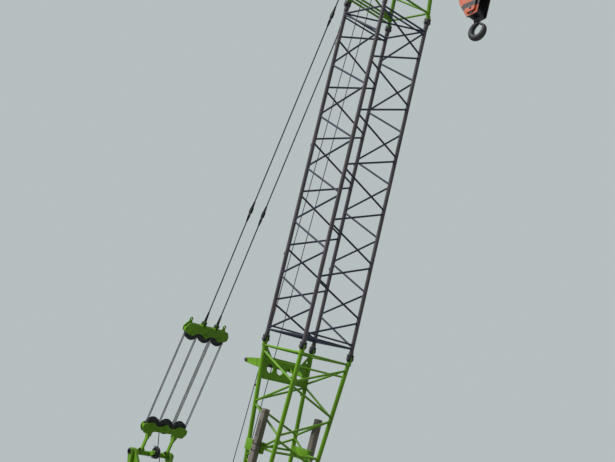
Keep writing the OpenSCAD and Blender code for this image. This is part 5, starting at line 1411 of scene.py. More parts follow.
def drum(x, body, node, layers):
    """Flanged barrel, and its wound rope as one helix over a plain core of the rest."""
    p = Piece(f"{node}_barrel", "black", "pin", base=shift(x, 0, DRUM_Z))
    half, rim = 0.475, 0.469
    p.turned(both([(0, -0.54), (0.066, -0.54), (0.07, -0.536), (0.07, -half), (0.2, -half), (0.2, -rim),
        (0.385, -rim), (0.385, -half), (0.405, -half), (0.41, -rim), (0.41, -0.441), (0.404, -0.435),
        (0.23, -0.435)]), across(), 64)
    for e in SIDES:
        for u, v in ring(10, 0.16):
            p.bolt((u, e * half, v), (0, e, 0), 0.01, 0.004, 1)
    p.done(body, node)
    p = Piece(f"{node}_rope", "bright_rope", base=shift(x, 0, DRUM_Z))
    r, span, steps = 0.0125 if node == "boom_drum" else 0.0112, 0.43, 20
    core = 0.23 + 2 * r * (layers - 1)
    p.turned([(0, -span), (core + r * 0.4, -span), (core + r * 0.4, span), (0, span)], across())
    count = int((span - r) / (1.02 * r)) * steps
    p.rope([((core + r) * cos(i * tau / steps), (span - r) * (2 * i / count - 1),
        (core + r) * sin(i * tau / steps)) for i in range(count + 1)], r, 6)
    p.done(body)


class CRANE_OT_deck(bpy.types.Operator):
    """Make the revolving frame with its stands, winches and drums"""

    bl_idname = "crane.deck"
    bl_label = "Deck and winches"

    def execute(self, context):
        revolving_frame()
        stands()
        for x, name, layers in zip(DRUM_XS, ("main", "second", "boom"), (2, 3, 2)):
            drum(x, f"winch_{name}", f"{name}_drum", layers)
        return {"FINISHED"}


HOOD_TOP, HOOD_X0, HOOD_X1, HOOD_IN, EDGE = 2.8503, -3.59, -0.59, 0.81, 1.65


def mirrored(side):
    """Identity for the +Y side, and a mirror image of it for the -Y side."""
    return Matrix.Diagonal((1, side, 1, 1))


def shell(low, high, wall, bevel):
    """Box open below with rounded outer edges and an inner face."""
    form = bmesh.new()

    def bottom(items):
        return [item for item in items if all(v.co.z < low[2] + 1e-5 for v in item.verts)]
    cube(form, low, high)
    rim = bottom(form.edges)
    bevelled(form, [e for e in form.edges if e not in rim], bevel, 4)
    under = bottom(form.faces)
    loop = list(under[0].edges)
    bmesh.ops.delete(form, geom=under, context="FACES_ONLY")
    inner = cube(form, (low[0] + wall, low[1] + wall, low[2]), [v - wall for v in high])
    faces = {f for v in inner for f in v.link_faces}
    under = bottom(faces)
    loop += list(under[0].edges)
    bmesh.ops.reverse_faces(form, faces=[f for f in faces if f not in under])
    bmesh.ops.delete(form, geom=under, context="FACES_ONLY")
    bmesh.ops.bridge_loops(form, edges=loop)
    bmesh.ops.recalc_face_normals(form, faces=form.faces)
    return form


def hood(name, side):
    p = Piece(f"{name}_hood_panels", "green", "black", "rubber", "pin", base=mirrored(side))
    p.add(shell((HOOD_X0, HOOD_IN, DECK_Z), (HOOD_X1, EDGE, HOOD_TOP), 0.04, 0.035))
    pitch = (HOOD_X1 - HOOD_X0 - 0.096) / 3
    for k in range(3):
        x0 = HOOD_X0 + 0.06 + k * pitch
        x1 = x0 + pitch - 0.024
        for a, b, low, high, back, out, bevel, paint in (
                (-0.006, 0.006, 0.054, 1.296, -0.001, 0.003, 0, 2),
                (0, 0, 0.06, 1.29, -0.001, 0.01, 0.006, 0),
                (0.05, -0.05, 0.11, 0.44, 0.006, 0.014, 0.005, 0)):
            p.box((x0 + a, EDGE + back, DECK_Z + low), (x1 + b, EDGE + out, DECK_Z + high), bevel, paint)
        if k == 1:
            p.box((x0 + 0.05, EDGE + 0.006, DECK_Z + 0.5), (x1 - 0.05, EDGE + 0.014, HOOD_TOP - 0.16),
                0.005)
        else:
            louvres(p, x0 + 0.088, x1 - 0.088)
        for z in (DECK_Z + 0.22, HOOD_TOP - 0.27):
            p.tube((x0 + 0.012, EDGE + 0.018, z), (x0 + 0.012, EDGE + 0.018, z + 0.09), 0.011, 12, 1)
            p.box((x0 - 0.02, EDGE, z + 0.01), (x0 + 0.045, EDGE + 0.016, z + 0.08), 0.003, 1)
        p.box((x1 - 0.11, EDGE + 0.008, DECK_Z + 0.455), (x1 - 0.03, EDGE + 0.022, DECK_Z + 0.495), 0.005,
            1)
        p.tube((x1 - 0.07, EDGE + 0.02, DECK_Z + 0.475), (x1 - 0.07, EDGE + 0.03, DECK_Z + 0.475), 0.012,
            14, 3)
    for x0, x1 in ((HOOD_X0 + 0.12, HOOD_X0 + 1.08), (HOOD_X1 - 0.7, HOOD_X1 - 0.08)):
        for grow, low, high, bevel, paint in ((0.006, -0.002, 0.004, 0, 2), (0, -0.001, 0.012, 0.005, 0)):
            p.box((x0 - grow, HOOD_IN + 0.12 - grow, HOOD_TOP + low), (x1 + grow, EDGE - 0.12 + grow,
                HOOD_TOP + high), bevel, paint)
        for y in (HOOD_IN + 0.26, EDGE - 0.26):
            p.box((x1 - 0.03, y - 0.045, HOOD_TOP + 0.004), (x1 + 0.03, y + 0.045, HOOD_TOP + 0.02),
                0.004, 1)
        p.rope([(x0 + 0.06, y, HOOD_TOP + z) for y, z in ((1.19, 0.008), (1.19, 0.04), (1.2, 0.048),
            (1.28, 0.048), (1.29, 0.04), (1.29, 0.008))], 0.007, 8, 1)
    slat = ((0, 0.01), (0.008, 0.01), (0.036, 0.036), (0.03, 0.04), (0.004, 0.018))
    for k in range(10):
        x = HOOD_X0 + 0.18 + k * 0.09
        p.plate([(x + u, HOOD_TOP + v) for u, v in slat], EDGE - HOOD_IN - 0.36, (HOOD_IN + EDGE) / 2, 0,
            1)
    # The black sheet under the vent's slats is painted shade where the vent would open into the hood
    p.box((HOOD_X0 + 0.17, HOOD_IN + 0.18, HOOD_TOP + 0.009), (HOOD_X0 + 1.04, EDGE - 0.18,
        HOOD_TOP + 0.014), 0, 1)
    for x, e in ((HOOD_X0 - 0.004, -1), (HOOD_X1 + 0.004, 1)):
        p.box((x - 0.006, HOOD_IN + 0.1, DECK_Z + 0.1), (x + 0.006, EDGE - 0.1, HOOD_TOP - 0.16), 0.005)
        for y in (HOOD_IN + 0.14, EDGE - 0.14):
            for z in (DECK_Z + 0.14, DECK_Z + 0.68, HOOD_TOP - 0.2):
                p.bolt((x + e * 0.006, y, z), (e, 0, 0), 0.01, 0.008, 3)
    for x in (-3.2, -2.9, -1.0):
        p.plate([(x + u, HOOD_TOP + v) for u, v in twin([(0.04, -0.004), (0.03, 0.045)])], 0.014,
            HOOD_IN + 0.06, holes=[(x, HOOD_TOP + 0.024, 0.011)])
    p.done("upper_works", f"hood_{name}")


def louvres(p, x0, x1):
    y = EDGE + 0.01
    for z in (DECK_Z + 0.52 + j * 0.066 for j in range(9)):
        p.plate([(y - 0.004, z), (y + 0.022, z + 0.006), (y + 0.024, z + 0.014), (y - 0.004, z + 0.044)],
            x1 - x0, facing_x((x0 + x1) / 2), 0.0015)
        # A dark strip under each slat is painted shade where the slot would open into the hood
        p.box((x0 + 0.006, y - 0.002, z - 0.01), (x1 - 0.006, y + 0.0012, z + 0.001), 0, 2)


def stack():
    p = Piece("exhaust_and_intake", "exhaust", "black", "pin", base=shift(-2.15, -1.23, HOOD_TOP))
    p.turned([(0, 0), (0.136, 0), (0.14, 0.004), (0.14, 0.012), (0.134, 0.016), (0.09, 0.018),
        (0.1, 0.035), (0.105, 0.05), (0.105, 0.285), (0.098, 0.305), (0.06, 0.315), (0.05, 0.33),
        (0.046, 0.345), (0.046, 0.552), (0.049, 0.556), (0.049, 0.56), (0.041, 0.56), (0.038, 0.552),
        (0.038, 0.44), (0, 0.44)], FLAT, 40)
    for z in (0.08, 0.27):
        p.add(band(0.104, 0.109, 0.014, 40), shift(z=z), 1)
    for u, v in ring(6, 0.122):
        p.bolt((u, v, 0.016), (0, 0, 1), 0.009, 0.009, 2)
    at = shift(-1.76, -1.23, HOOD_TOP)
    p.base = at
    p.turned([(0, 0), (0.085, 0), (0.085, 0.012), (0.062, 0.014), (0.062, 0.15), (0.112, 0.15),
        (0.118, 0.156), (0.118, 0.255), (0.114, 0.262), (0.07, 0.302), (0.06, 0.309), (0, 0.309)], FLAT,
        40, 1)
    for k in range(24):
        p.base = at @ turn(k * tau / 24, "Z")
        p.box((0.112, -0.005, 0.168), (0.1195, 0.005, 0.245), 0.001, 1, 1)
    p.done("upper_works", "exhaust_stack")


def tank():
    p = Piece("fuel_tank_shell", "green", "black", "pin")
    x0, x1, middle, half, high, cut = -0.34, 0.8, -1.315, 0.315, 0.56, 0.07

    def section(points, length, x, bevel, paint=0):
        p.plate([(middle + u, DECK_Z + v) for u, v in twin(points)], length, facing_x(x), bevel, paint)
    section([(half, 0), (half, high - cut), (half - 0.02, high - 0.02), (half - cut, high)], x1 - x0,
        (x0 + x1) / 2, 0.012)
    for x in (-0.12, 0.58):
        section([(half + 0.006, 0), (half + 0.006, high - cut + 0.002),
            (half - cut + 0.002, high + 0.006)], 0.06, x, 0.002, 1)
    out = middle - half
    p.box((0.2, out - 0.008, DECK_Z + 0.1), (0.24, out + 0.002, DECK_Z + 0.42), 0.003, 1)
    p.box((0.213, out - 0.01, DECK_Z + 0.12), (0.227, out - 0.006, DECK_Z + 0.4), 0.001, 2)
    p.plate(rect(0.3, DECK_Z, 0.42, DECK_Z + 0.26), 0.02, middle + half + 0.006, 0.003)
    at = shift(x1 - 0.2, middle, DECK_Z + high)
    p.turned([(0, -0.001), (0.072, -0.001), (0.072, 0.012), (0.058, 0.014), (0.06, 0.02), (0.06, 0.044),
        (0.055, 0.049), (0, 0.049)], at, 32, 1)
    for k in range(10):
        p.base = at @ turn(k * tau / 10, "Z")
        p.box((0.057, -0.008, 0.022), (0.0635, 0.008, 0.042), 0.002, 1, 1)
    p.done("upper_works", "fuel_tank")


class CRANE_OT_hoods(bpy.types.Operator):
    """Make the machinery hoods, the stack, the intake and the fuel tank"""

    bl_idname = "crane.hoods"
    bl_label = "Machinery hoods"

    def execute(self, context):
        hood("left", 1)
        hood("right", -1)
        stack()
        tank()
        return {"FINISHED"}


def rails(q, x0, x1, y):
    """Hand-rails on posts along a catwalk and round its rear end, at two heights."""
    inner = EDGE + 0.06
    count = round((x1 - x0) / 0.9)
    for x, at_y in [(x0 + (x1 - x0) * k / count, y) for k in range(count + 1)] + [(x0, inner)]:
        foot = Vector((x, at_y, DECK_Z))
        q.tube(foot, foot + Vector((0, 0, 1.0)), 0.021, 16)
        q.turned([(0, 1.0), (0.021, 0.998), (0.017, 1.006), (0, 1.008)], shift(*foot), 16)
        q.box(foot + Vector((-0.045, -0.035, 0)), foot + Vector((0.045, 0.035, 0.008)), 0.002)
        for dx in (-0.033, 0.033):
            q.bolt(foot + Vector((dx, 0, 0.008)), (0, 0, 1), 0.007, 0.008, 1)
    for z in (DECK_Z + 0.5, DECK_Z + 0.96):
        q.rope([(x1, y, z), (x0 + 0.03, y, z), (x0 + 0.009, y - 0.009, z), (x0, y - 0.03, z),
            (x0, inner, z)], 0.017, 14)


class CRANE_OT_walkways(bpy.types.Operator):
    """Make the catwalks, the cab step and the hand-rails"""

    bl_idname = "crane.walkways"
    bl_label = "Walkways and rails"

    def execute(self, context):
        p = Piece("catwalk_decks", "chequer", "black", "pin")
        q = Piece("hand_rail_tubes", "rail", "pin")
        x0, out = -3.6, 2.01
        for side, x1 in ((-1, 1.25), (1, 0.04)):
            p.base = q.base = mirrored(side)
            p.box((x0, EDGE, DECK_Z - 0.05), (x1, out, DECK_Z), 0.004)
            p.plate([(out + u, DECK_Z + v) for u, v in ((-0.024, -0.12), (0, -0.12), (0, 0.004),
                (-0.01, 0.004), (-0.01, -0.04), (-0.024, -0.04))], x1 - x0, facing_x((x0 + x1) / 2),
                0.002, 1)
            count = round((x1 - x0) / 0.8)
            for k in range(count + 1):
                p.plate([(EDGE, DECK_Z - 0.116), (out - 0.023, DECK_Z - 0.08),
                    (out - 0.023, DECK_Z - 0.049), (EDGE, DECK_Z - 0.049)], 0.016,
                    facing_x(x0 + 0.04 + (x1 - x0 - 0.08) * k / count), 0.002, 1)
            rails(q, x0 + 0.04, x1 - 0.04, out - 0.04)
        p.base = FLAT
        low = FLOOR_Z + 0.09
        p.box((0.15, 1.99, low), (2.05, 2.32, low + 0.04), 0.004)
        for x in (0.9, 1.3):
            p.plate(rect(2.23, low - 0.15, 2.32, low + 0.001), 0.016, facing_x(x), 0.002, 1)
        p.box((0.892, 2.23, low - 0.16), (1.308, 2.32, low - 0.14), 0.004)
        p.done("upper_works", "catwalks")
        q.done("upper_works", "hand_rails")
        return {"FINISHED"}


class CRANE_OT_counterweight(bpy.types.Operator):
    """Make the counterweight blocks and their tray"""

    bl_idname = "crane.counterweight"
    bl_label = "Counterweight"

    def execute(self, context):
        p = Piece("counterweight_stack", "green", "pin", "black")
        x0, x1, half, base = -4.5, -3.67, 1.6, FLOOR_Z + 0.16
        top = base + 1.6
        for side in SIDES:
            p.base = mirrored(side)
            for low in (base + 0.4 * k for k in range(4)):
                p.plate([(x0, 0.004), (x1, 0.004), (x1, half), (x0 + 0.16, half),
                    (x0 + 0.07, half - 0.045), (x0 + 0.025, half - 0.1), (x0, half - 0.16)], 0.398,
                    shift(z=low + 0.2), 0.014)
                for y in (0.3, 1.25):
                    p.box((x0 - 0.004, y - 0.1, low + 0.09), (x0 + 0.004, y + 0.1, low + 0.31), 0.0035, 0,
                        1)
                    p.box((x0 - 0.012, y - 0.03, low + 0.13), (x0 + 0.004, y + 0.03, low + 0.27), 0.006,
                        2, 1)
                p.box((-4.25, half - 0.004, low + 0.14), (-3.95, half + 0.006, low + 0.26), 0.006, 2, 1)
            eye = [(0.09, -0.001), (0.05, 0.09), (0.04, 0.115), (0.02, 0.135), (0, 0.142)]
            for y in (0.352, 1.2):
                p.plate([(u - 4.085, top + v) for u, v in twin(eye)], 0.04, y,
                    holes=[(-4.085, top + 0.09, 0.026)])
            for y in (0.55, 1.05):
                p.turned([(0, 0.0), (0.045, 0.0), (0.045, 0.012), (0.028, 0.014), (0.028, 0.05),
                    (0, 0.052)], shift(-4.085, y, top - 0.002), 6, 1)
        p.done("upper_works", "counterweight_blocks")
        p = Piece("counterweight_base", "black", "pin")
        p.box((-4.53, -1.6, FLOOR_Z), (-3.65, 1.6, base), 0.01)
        for y in (-1.45, -0.5, 0.5, 1.45):
            p.box((-4.536, y - 0.06, FLOOR_Z + 0.01), (-4.524, y + 0.06, FLOOR_Z + 0.15), 0.004)
        for y in (-1.2, -0.9, 0.9, 1.2):
            p.bolt((-4.53, y, FLOOR_Z + 0.08), (-1, 0, 0), 0.02, 0.016, 1)
        p.done("upper_works", "counterweight_tray")
        return {"FINISHED"}


GANTRY_HEAD = (-3.3, 6.32)
NOSE_BENDS = (0.3, 0.8, 1.25, 1.9, 2.4, 2.84)


def gantry_legs(name, foot, y, width, shares, spread, pin_y, pin_length):
    """A pair of legs; each leg's frame runs from its foot (+X) to the gantry's head."""
    p = Piece(f"gantry_{name}_leg_pair", "green", "pin", "black")
    foot, top = Vector(foot), Vector(GANTRY_HEAD)
    reach, half = (top - foot).length, width / 2
    way = (top - foot).normalized()
    leg = shift(foot.x, 0, foot.y) @ turn(-atan2(way.y, way.x), "Y")
    bends = [pi * (i / 8 - 1) for i in range(9)]
    outline = [*crown(0, 0, half + 0.006, bends), (0.16, half), (reach - 0.26, half),
        *crown(reach, 0, 0.112, [a + pi for a in bends]), (reach - 0.26, -half), (0.16, -half)]
    p.base = leg
    for side in SIDES:
        at = side * y
        p.plate(outline, 0.09, at, 0.009)
        for e in SIDES:
            p.plate(rect(0.3, 0.035 - half, reach - 0.42, half - 0.035), 0.012, at + e * 0.042, 0.003)
            for x in (reach * share for share in (0.12, 0.3, 0.48, 0.66, 0.84)):
                p.plate(rect(x - 0.012, 0.006 - half, x + 0.012, half - 0.006), 0.006, at + e * 0.0465,
                    0.001)
        p.pin((0, side * pin_y, 0), pin_length, 0.045, 28, 1)
        p.add(hoop(both([(0.0703, -0.049), (0.092, -0.049), (0.096, -0.045)]), 40),
            across((reach, at, 0)))
        for x in (reach * share for share in shares):
            p.add(hoop([(0.049, 0), (0.066, 0), (0.05, 0.016)], 28), rise((x, side * (y - 0.0455), 0),
                (x, 0, 0)))
            p.plate(rect(x - 0.1, -spread, x + 0.1, spread), 0.012, side * (y - 0.05), 0.002)
    for x in (reach * share for share in shares):
        p.tube((x, 0.046 - y, 0), (x, y - 0.046, 0), 0.05, 28)
    p.done("upper_works", f"gantry_{name}_legs")


def gantry_head():
    p = Piece("gantry_head_frame", "green", "pin", "black", base=shift(GANTRY_HEAD[0], 0, GANTRY_HEAD[1]))
    p.pin((0, 0, 0), 1.5, 0.07, 36, 0, 0.006)
    for side in SIDES:
        p.pin((0, side * 0.742, 0), 0.016, 0.08, 32, 2, 0.003)
        for u, v in ring(4, 0.045, pi / 4):
            p.bolt((u, side * 0.748, v), (0, side, 0), 0.01, 0.008, 1)
        for e in SIDES:
            p.plate([(-0.06, -0.06), (-0.06, 0.08), *crown(0.167, 0.048, 0.07, NOSE_BENDS, 0.06)], 0.03,
                side * 0.44 + e * 0.0403, 0.003)
        p.pin((0.167, side * 0.44, 0.048), 0.15, 0.032, 28, 1)
        p.plate([(-0.06, -0.07), (-0.06, 0.07), *crown(0.25, 0, 0.06, NOSE_BENDS)], 0.03, side * 0.06,
            0.003)
    for a in (radians(100), radians(220)):
        p.pin((0.25 + 0.192 * cos(a), 0, 0.192 * sin(a)), 0.15, 0.009, 12, 1, 0.002)
    p.done("upper_works", "gantry_head")
    p = Piece("gantry_guide_wheel", "sheave", "pin", base=shift(GANTRY_HEAD[0] + 0.25, 0, GANTRY_HEAD[1]))
    p.add(sheave_form(0.17, 0.08, 0.0, ROPE_GROOVE), across())
    p.pin((0, 0, 0), 0.18, 0.03, 24, 1)
    p.done("guide_sheave", "gantry_guide_sheave")


class CRANE_OT_gantry(bpy.types.Operator):
    """Make the gantry's legs, cross tubes, head and guide sheave"""

    bl_idname = "crane.gantry"
    bl_label = "Gantry"

    def execute(self, context):
        gantry_legs("front", (-1.0, 1.8703), 0.585, 0.22, (0.35, 0.52), 0.1, 0.64, 0.2)
        gantry_legs("rear", (-3.54, 1.8703), 0.675, 0.16, (0.42, 0.75), 0.07, 0.675, 0.19)
        gantry_head()
        return {"FINISHED"}


CAB_X0, CAB_Y0, CAB_Y1 = 0.1, 1.03, 1.99
CAB_LOW = FLOOR_Z + 0.08
CAB_TOP, CAB_BELT, CAB_NOSE, CAB_BROW = CAB_LOW + 1.74, CAB_LOW + 0.56, 2.1, 1.86
DOOR = (0.606, 1.3863, 1.454, 2.8443)
DOOR_WINDOW = (0.68, 1.9403, 1.38, 2.7703)


def gasket(window, depth=0.006, width=0.018):
    """Rounded frame about a rectangular opening in an XY plane, proud on +Z."""
    x0, y0, x1, y1 = window
    form = bmesh.new()
    rings = [[form.verts.new((x, y, z)) for x, y in rect(x0 - out, y0 - out, x1 + out, y1 + out)] for out,
        z in ((-0.002, -depth), (-0.002, depth), (width * 0.4, depth * 1.5), (width, depth),
        (width, -depth))]
    for a, b in zip(rings, rings[1:] + rings[:1]):
        for k in range(4):
            form.faces.new((a[k - 1], a[k], b[k], b[k - 1]))
    bmesh.ops.recalc_face_normals(form, faces=form.faces)
    return form


def facing_y(y, side=1):
    """Plane square to Y at y, its outline in (x, z), +Z of the form outwards on side."""
    return Matrix(((1, 0, 0, 0), (0, 0, side, y), (0, 1, 0, 0), (0, 0, 0, 1)))


def cab_front(z0, z1):
    """Place of the front face between two heights, outline in (y, up), and its length."""
    base, up = (Vector((CAB_NOSE + (CAB_BROW - CAB_NOSE) * max(0.0, (z - CAB_BELT)
        / (CAB_TOP - CAB_BELT)), 0, z)) for z in (z0, z1))
    length, up = (up - base).length, (up - base).normalized()
    return Matrix(((0, up.x, up.z, base.x), (1, 0, 0, 0), (0, up.z, -up.x, base.z), (0, 0, 0, 1))), length


def cab_trim():
    p = Piece("cab_seals", "rubber", "black", "pin", "green")
    for z0, z1 in ((1.4303, 1.7603), (1.8803, 2.8403)):
        place, length = cab_front(z0, z1)
        p.add(gasket((1.12, 0, 1.9, length)), place)
    p.add(gasket((0.19, 1.9403, 0.51, 2.8703)), facing_y(CAB_Y1))
    p.add(gasket((0.19, 1.9403, 1.77, 2.8703)), facing_y(CAB_Y0, -1))
    p.add(gasket((1.15, 1.9403, 1.87, 2.8703)), facing_x(CAB_X0) @ Matrix.Diagonal((1, 1, -1, 1)))
    p.add(gasket(DOOR, 0.004, 0.014), facing_y(CAB_Y1))
    p.base = place
    for foot, angle in ((1.36, radians(12)), (1.66, radians(-10))):
        pivot = Vector((foot, 0.02, 0.014))
        tip = pivot + Vector((-sin(angle) * 0.6, cos(angle) * 0.6, 0.006))
        p.turned([(0, -0.012), (0.022, -0.012), (0.022, 0.004), (0.012, 0.01), (0, 0.01)], shift(*pivot),
            20, 1)
        p.rope([pivot, pivot.lerp(tip, 0.5) + Vector((0, 0, 0.008)), tip], 0.006, 8, 1)
        blade = Vector((sin(radians(4)), cos(radians(4)), 0))
        for drop, r, sides, paint in ((0, 0.006, 8, 1), (0.006, 0.004, 6, 0)):
            p.rope([tip + blade * reach - Vector((0, 0, drop)) for reach in (-0.24, 0.16)], r, sides,
                paint)
    p.base = FLAT
    for x in (0.16, 1.78):
        for y in (1.1, 1.92):
            p.turned([(0, 0), (0.03, 0), (0.03, 0.012), (0.012, 0.016), (0, 0.016)], shift(x, y, CAB_TOP),
                20, 1)
    for y in (CAB_Y0 + 0.012, CAB_Y1 - 0.012):
        p.plate(rect(0.13, CAB_TOP - 0.004, 1.84, CAB_TOP + 0.012), 0.016, y, 0.003, 3)
    for y in (1.18, 1.84):
        p.box((0.3, y - 0.02, CAB_TOP - 0.002), (1.66, y + 0.02, CAB_TOP + 0.01), 0.004, 3)
    for z in (1.36, 1.62):
        for x0, x1 in ((0.14, 0.56), (1.52, 2.04)):
            p.box((x0, CAB_Y1 - 0.002, z), (x1, CAB_Y1 + 0.004, z + 0.012), 0.002, 3)
    for x in (0.56, 1.5):
        p.rope([(x, CAB_Y1 + out, z) for out, z in ((0, 1.62), (0.05, 1.63), (0.06, 1.66), (0.06, 2.26),
            (0.05, 2.29), (0, 2.3))], 0.012, 12, 1)
    p.done("upper_works")
    p = Piece("cab_window_panes", "glass", base=place)
    inset = -0.029 * hypot(1, (CAB_BROW - CAB_NOSE) / (CAB_TOP - CAB_BELT))
    p.box((1.118, -0.002, inset), (1.902, length + 0.002, inset + 0.006), 0)
    p.base = FLAT
    for low, high in (((CAB_NOSE - 0.029, 1.118, 1.4283), (CAB_NOSE - 0.023, 1.902, 1.7623)),
                      ((0.122, 1.148, 1.9383), (0.128, 1.872, 2.8723)),
                      ((0.188, CAB_Y1 - 0.028, 1.9383), (0.512, CAB_Y1 - 0.022, 2.8723)),
                      ((0.188, CAB_Y0 + 0.022, 1.9383), (1.772, CAB_Y0 + 0.028, 2.8723))):
        p.box(low, high, 0)
    p.done("upper_works", "cab_glass")


def cab_door():
    p = Piece("cab_door_panel", "green", "rubber", "black", "pin")
    y0, y1 = CAB_Y1 - 0.05, CAB_Y1
    (x0, z0, x1, z1), (u0, v0, u1, v1) = DOOR, DOOR_WINDOW
    for a, b, c, d in ((x0, z0, x1, v0), (x0, v1, x1, z1), (x0, v0, u0, v1), (u1, v0, x1, v1)):
        p.box((a, y0, b), (c, y1, d), 0)
    p.add(gasket(DOOR_WINDOW, 0.006, 0.02), facing_y(y1), 1)
    p.add(gasket(DOOR_WINDOW, 0.004, 0.014), facing_y(y0, -1), 1)
    p.box((x0 + 0.05, y1 - 0.002, z0 + 0.06), (x1 - 0.05, y1 + 0.004, v0 - 0.1), 0.003)
    for z in (1.5803, 2.5703):
        p.box((0.6, y1 - 0.004, z - 0.03), (0.72, y1 + 0.008, z + 0.03), 0.004, 2)
        p.tube((0.6, y1 + 0.022, z - 0.04), (0.6, y1 + 0.022, z + 0.04), 0.017, 20, 2)
        p.box((0.6, y1 - 0.001, z - 0.03), (0.62, y1 + 0.022, z + 0.03), 0.004, 2)
    p.box((x1 - 0.15, y1 - 0.002, 1.8), (x1 - 0.04, y1 + 0.01, 1.88), 0.004, 2)
    p.rope([(x1 + u, y1 + out, 1.85) for u, out in ((-0.14, 0.004), (-0.13, 0.034), (-0.07, 0.034),
        (-0.06, 0.004))], 0.007, 8, 2)
    p.turned([(0, 0), (0.01, 0), (0.01, 0.008), (0, 0.009)], facing_y(y1 + 0.009)
        @ shift(x1 - 0.065, 1.82), 16, 3)
    p.done("door", "cab_door")
    p = Piece("cab_door_pane", "glass")
    p.box((u0 - 0.002, y0 + 0.022, v0 - 0.002), (u1 + 0.002, y0 + 0.028, v1 + 0.002), 0)
    p.done("door", "cab_door_glass")


def cab_fittings():
    p = Piece("cab_lamps_and_mirror", "plastic", "lamp", "amber_lamp", "machined")
    for y in (1.16, 1.86):
        p.base = shift(1.73, y, CAB_TOP)
        for low, high, bevel in (((-0.02, -0.02, -0.001), (0.02, 0.02, 0.045), 0.004),
                                 ((-0.015, -0.066, 0.04), (0.015, -0.058, 0.12), 0.002),
                                 ((-0.015, 0.058, 0.04), (0.015, 0.066, 0.12), 0.002),
                                 ((-0.015, -0.062, 0.03), (0.015, 0.062, 0.04), 0.002)):
            p.box(low, high, bevel)
        place = shift(-0.04, 0, 0.098) @ turn(pi / 2, "Y")
        p.turned([(0, 0), (0.03, 0.0), (0.05, 0.012), (0.06, 0.04), (0.062, 0.075), (0.062, 0.088),
            (0.056, 0.09), (0.054, 0.082), (0, 0.08)], place, 32)
        p.turned([(0, 0.081), (0.04, 0.084), (0.054, 0.082)], place, 32, 1)
    p.base = shift(0.26, 1.19, CAB_TOP)
    p.turned([(0, 0), (0.068, 0), (0.07, 0.004), (0.07, 0.026), (0.062, 0.03), (0, 0.03)], FLAT, 32)
    p.turned([(0, 0.0301), (0.052, 0.0301), (0.052, 0.11), (0.046, 0.132), (0.03, 0.146), (0, 0.149)],
        FLAT, 32, 2)
    for k in range(9):
        p.add(hoop([(0.0515, 0), (0.0522, 0.003), (0.0515, 0.005)], 32), shift(z=0.042 + k * 0.008), 2)
    p.base = FLAT
    p.rope([(1.78, CAB_Y1 - 0.004, 2.7703), (1.78, 2.03, 2.7703), (1.78, 2.215, 2.7703)], 0.013, 14)
    for low, high, bevel, paint in (((1.74, 1.989, 2.72), (1.82, 2.002, 2.82), 0.004, 0),
                                    ((1.765, 2.13, 2.4403), (1.79, 2.31, 2.7903), 0.01, 0),
                                    ((1.7905, 2.142, 2.4523), (1.7925, 2.298, 2.7783), 0.0006, 3),
                                    ((1.768, 2.205, 2.75), (1.792, 2.235, 2.79), 0.004, 0)):
        p.box(low, high, bevel, paint)
    p.done("upper_works", "cab_fittings")


def cab_seat():
    p = Piece("operator_seat_parts", "cloth", "plastic", "pin", base=shift(0, 1.51, CAB_LOW + 0.06))
    p.box((0.62, -0.18, -0.06), (1.12, 0.18, -0.02), paint=1)
    for k in range(5):
        p.box((0.66 + 0.004 * (k % 2), -0.14, k * 0.05 - 0.02), (1.08, 0.14, k * 0.05 + 0.026), 0.012, 1)
    p.box((0.6, -0.22, 0.23), (1.18, 0.22, 0.36), 0.045, 0, 4)
    for e in SIDES:
        p.box((0.62, e * 0.2 - 0.03, 0.32), (1.14, e * 0.2 + 0.03, 0.39), 0.025, 0, 3)
    p.base = p.base @ shift(0.66, 0, 0.34) @ turn(-0.1, "Y")
    p.box((-0.07, -0.22, 0), (0.05, 0.22, 0.54), 0.045, 0, 4)
    p.box((-0.055, -0.12, 0.57), (0.045, 0.12, 0.74), 0.04, 0, 4)
    for e in SIDES:
        p.box((0.0, e * 0.2 - 0.03, 0.04), (0.085, e * 0.2 + 0.03, 0.5), 0.026, 0, 3)
        p.tube((0, e * 0.06, 0.52), (0, e * 0.06, 0.6), 0.008, 10, 2)
    p.done("upper_works", "operator_seat")


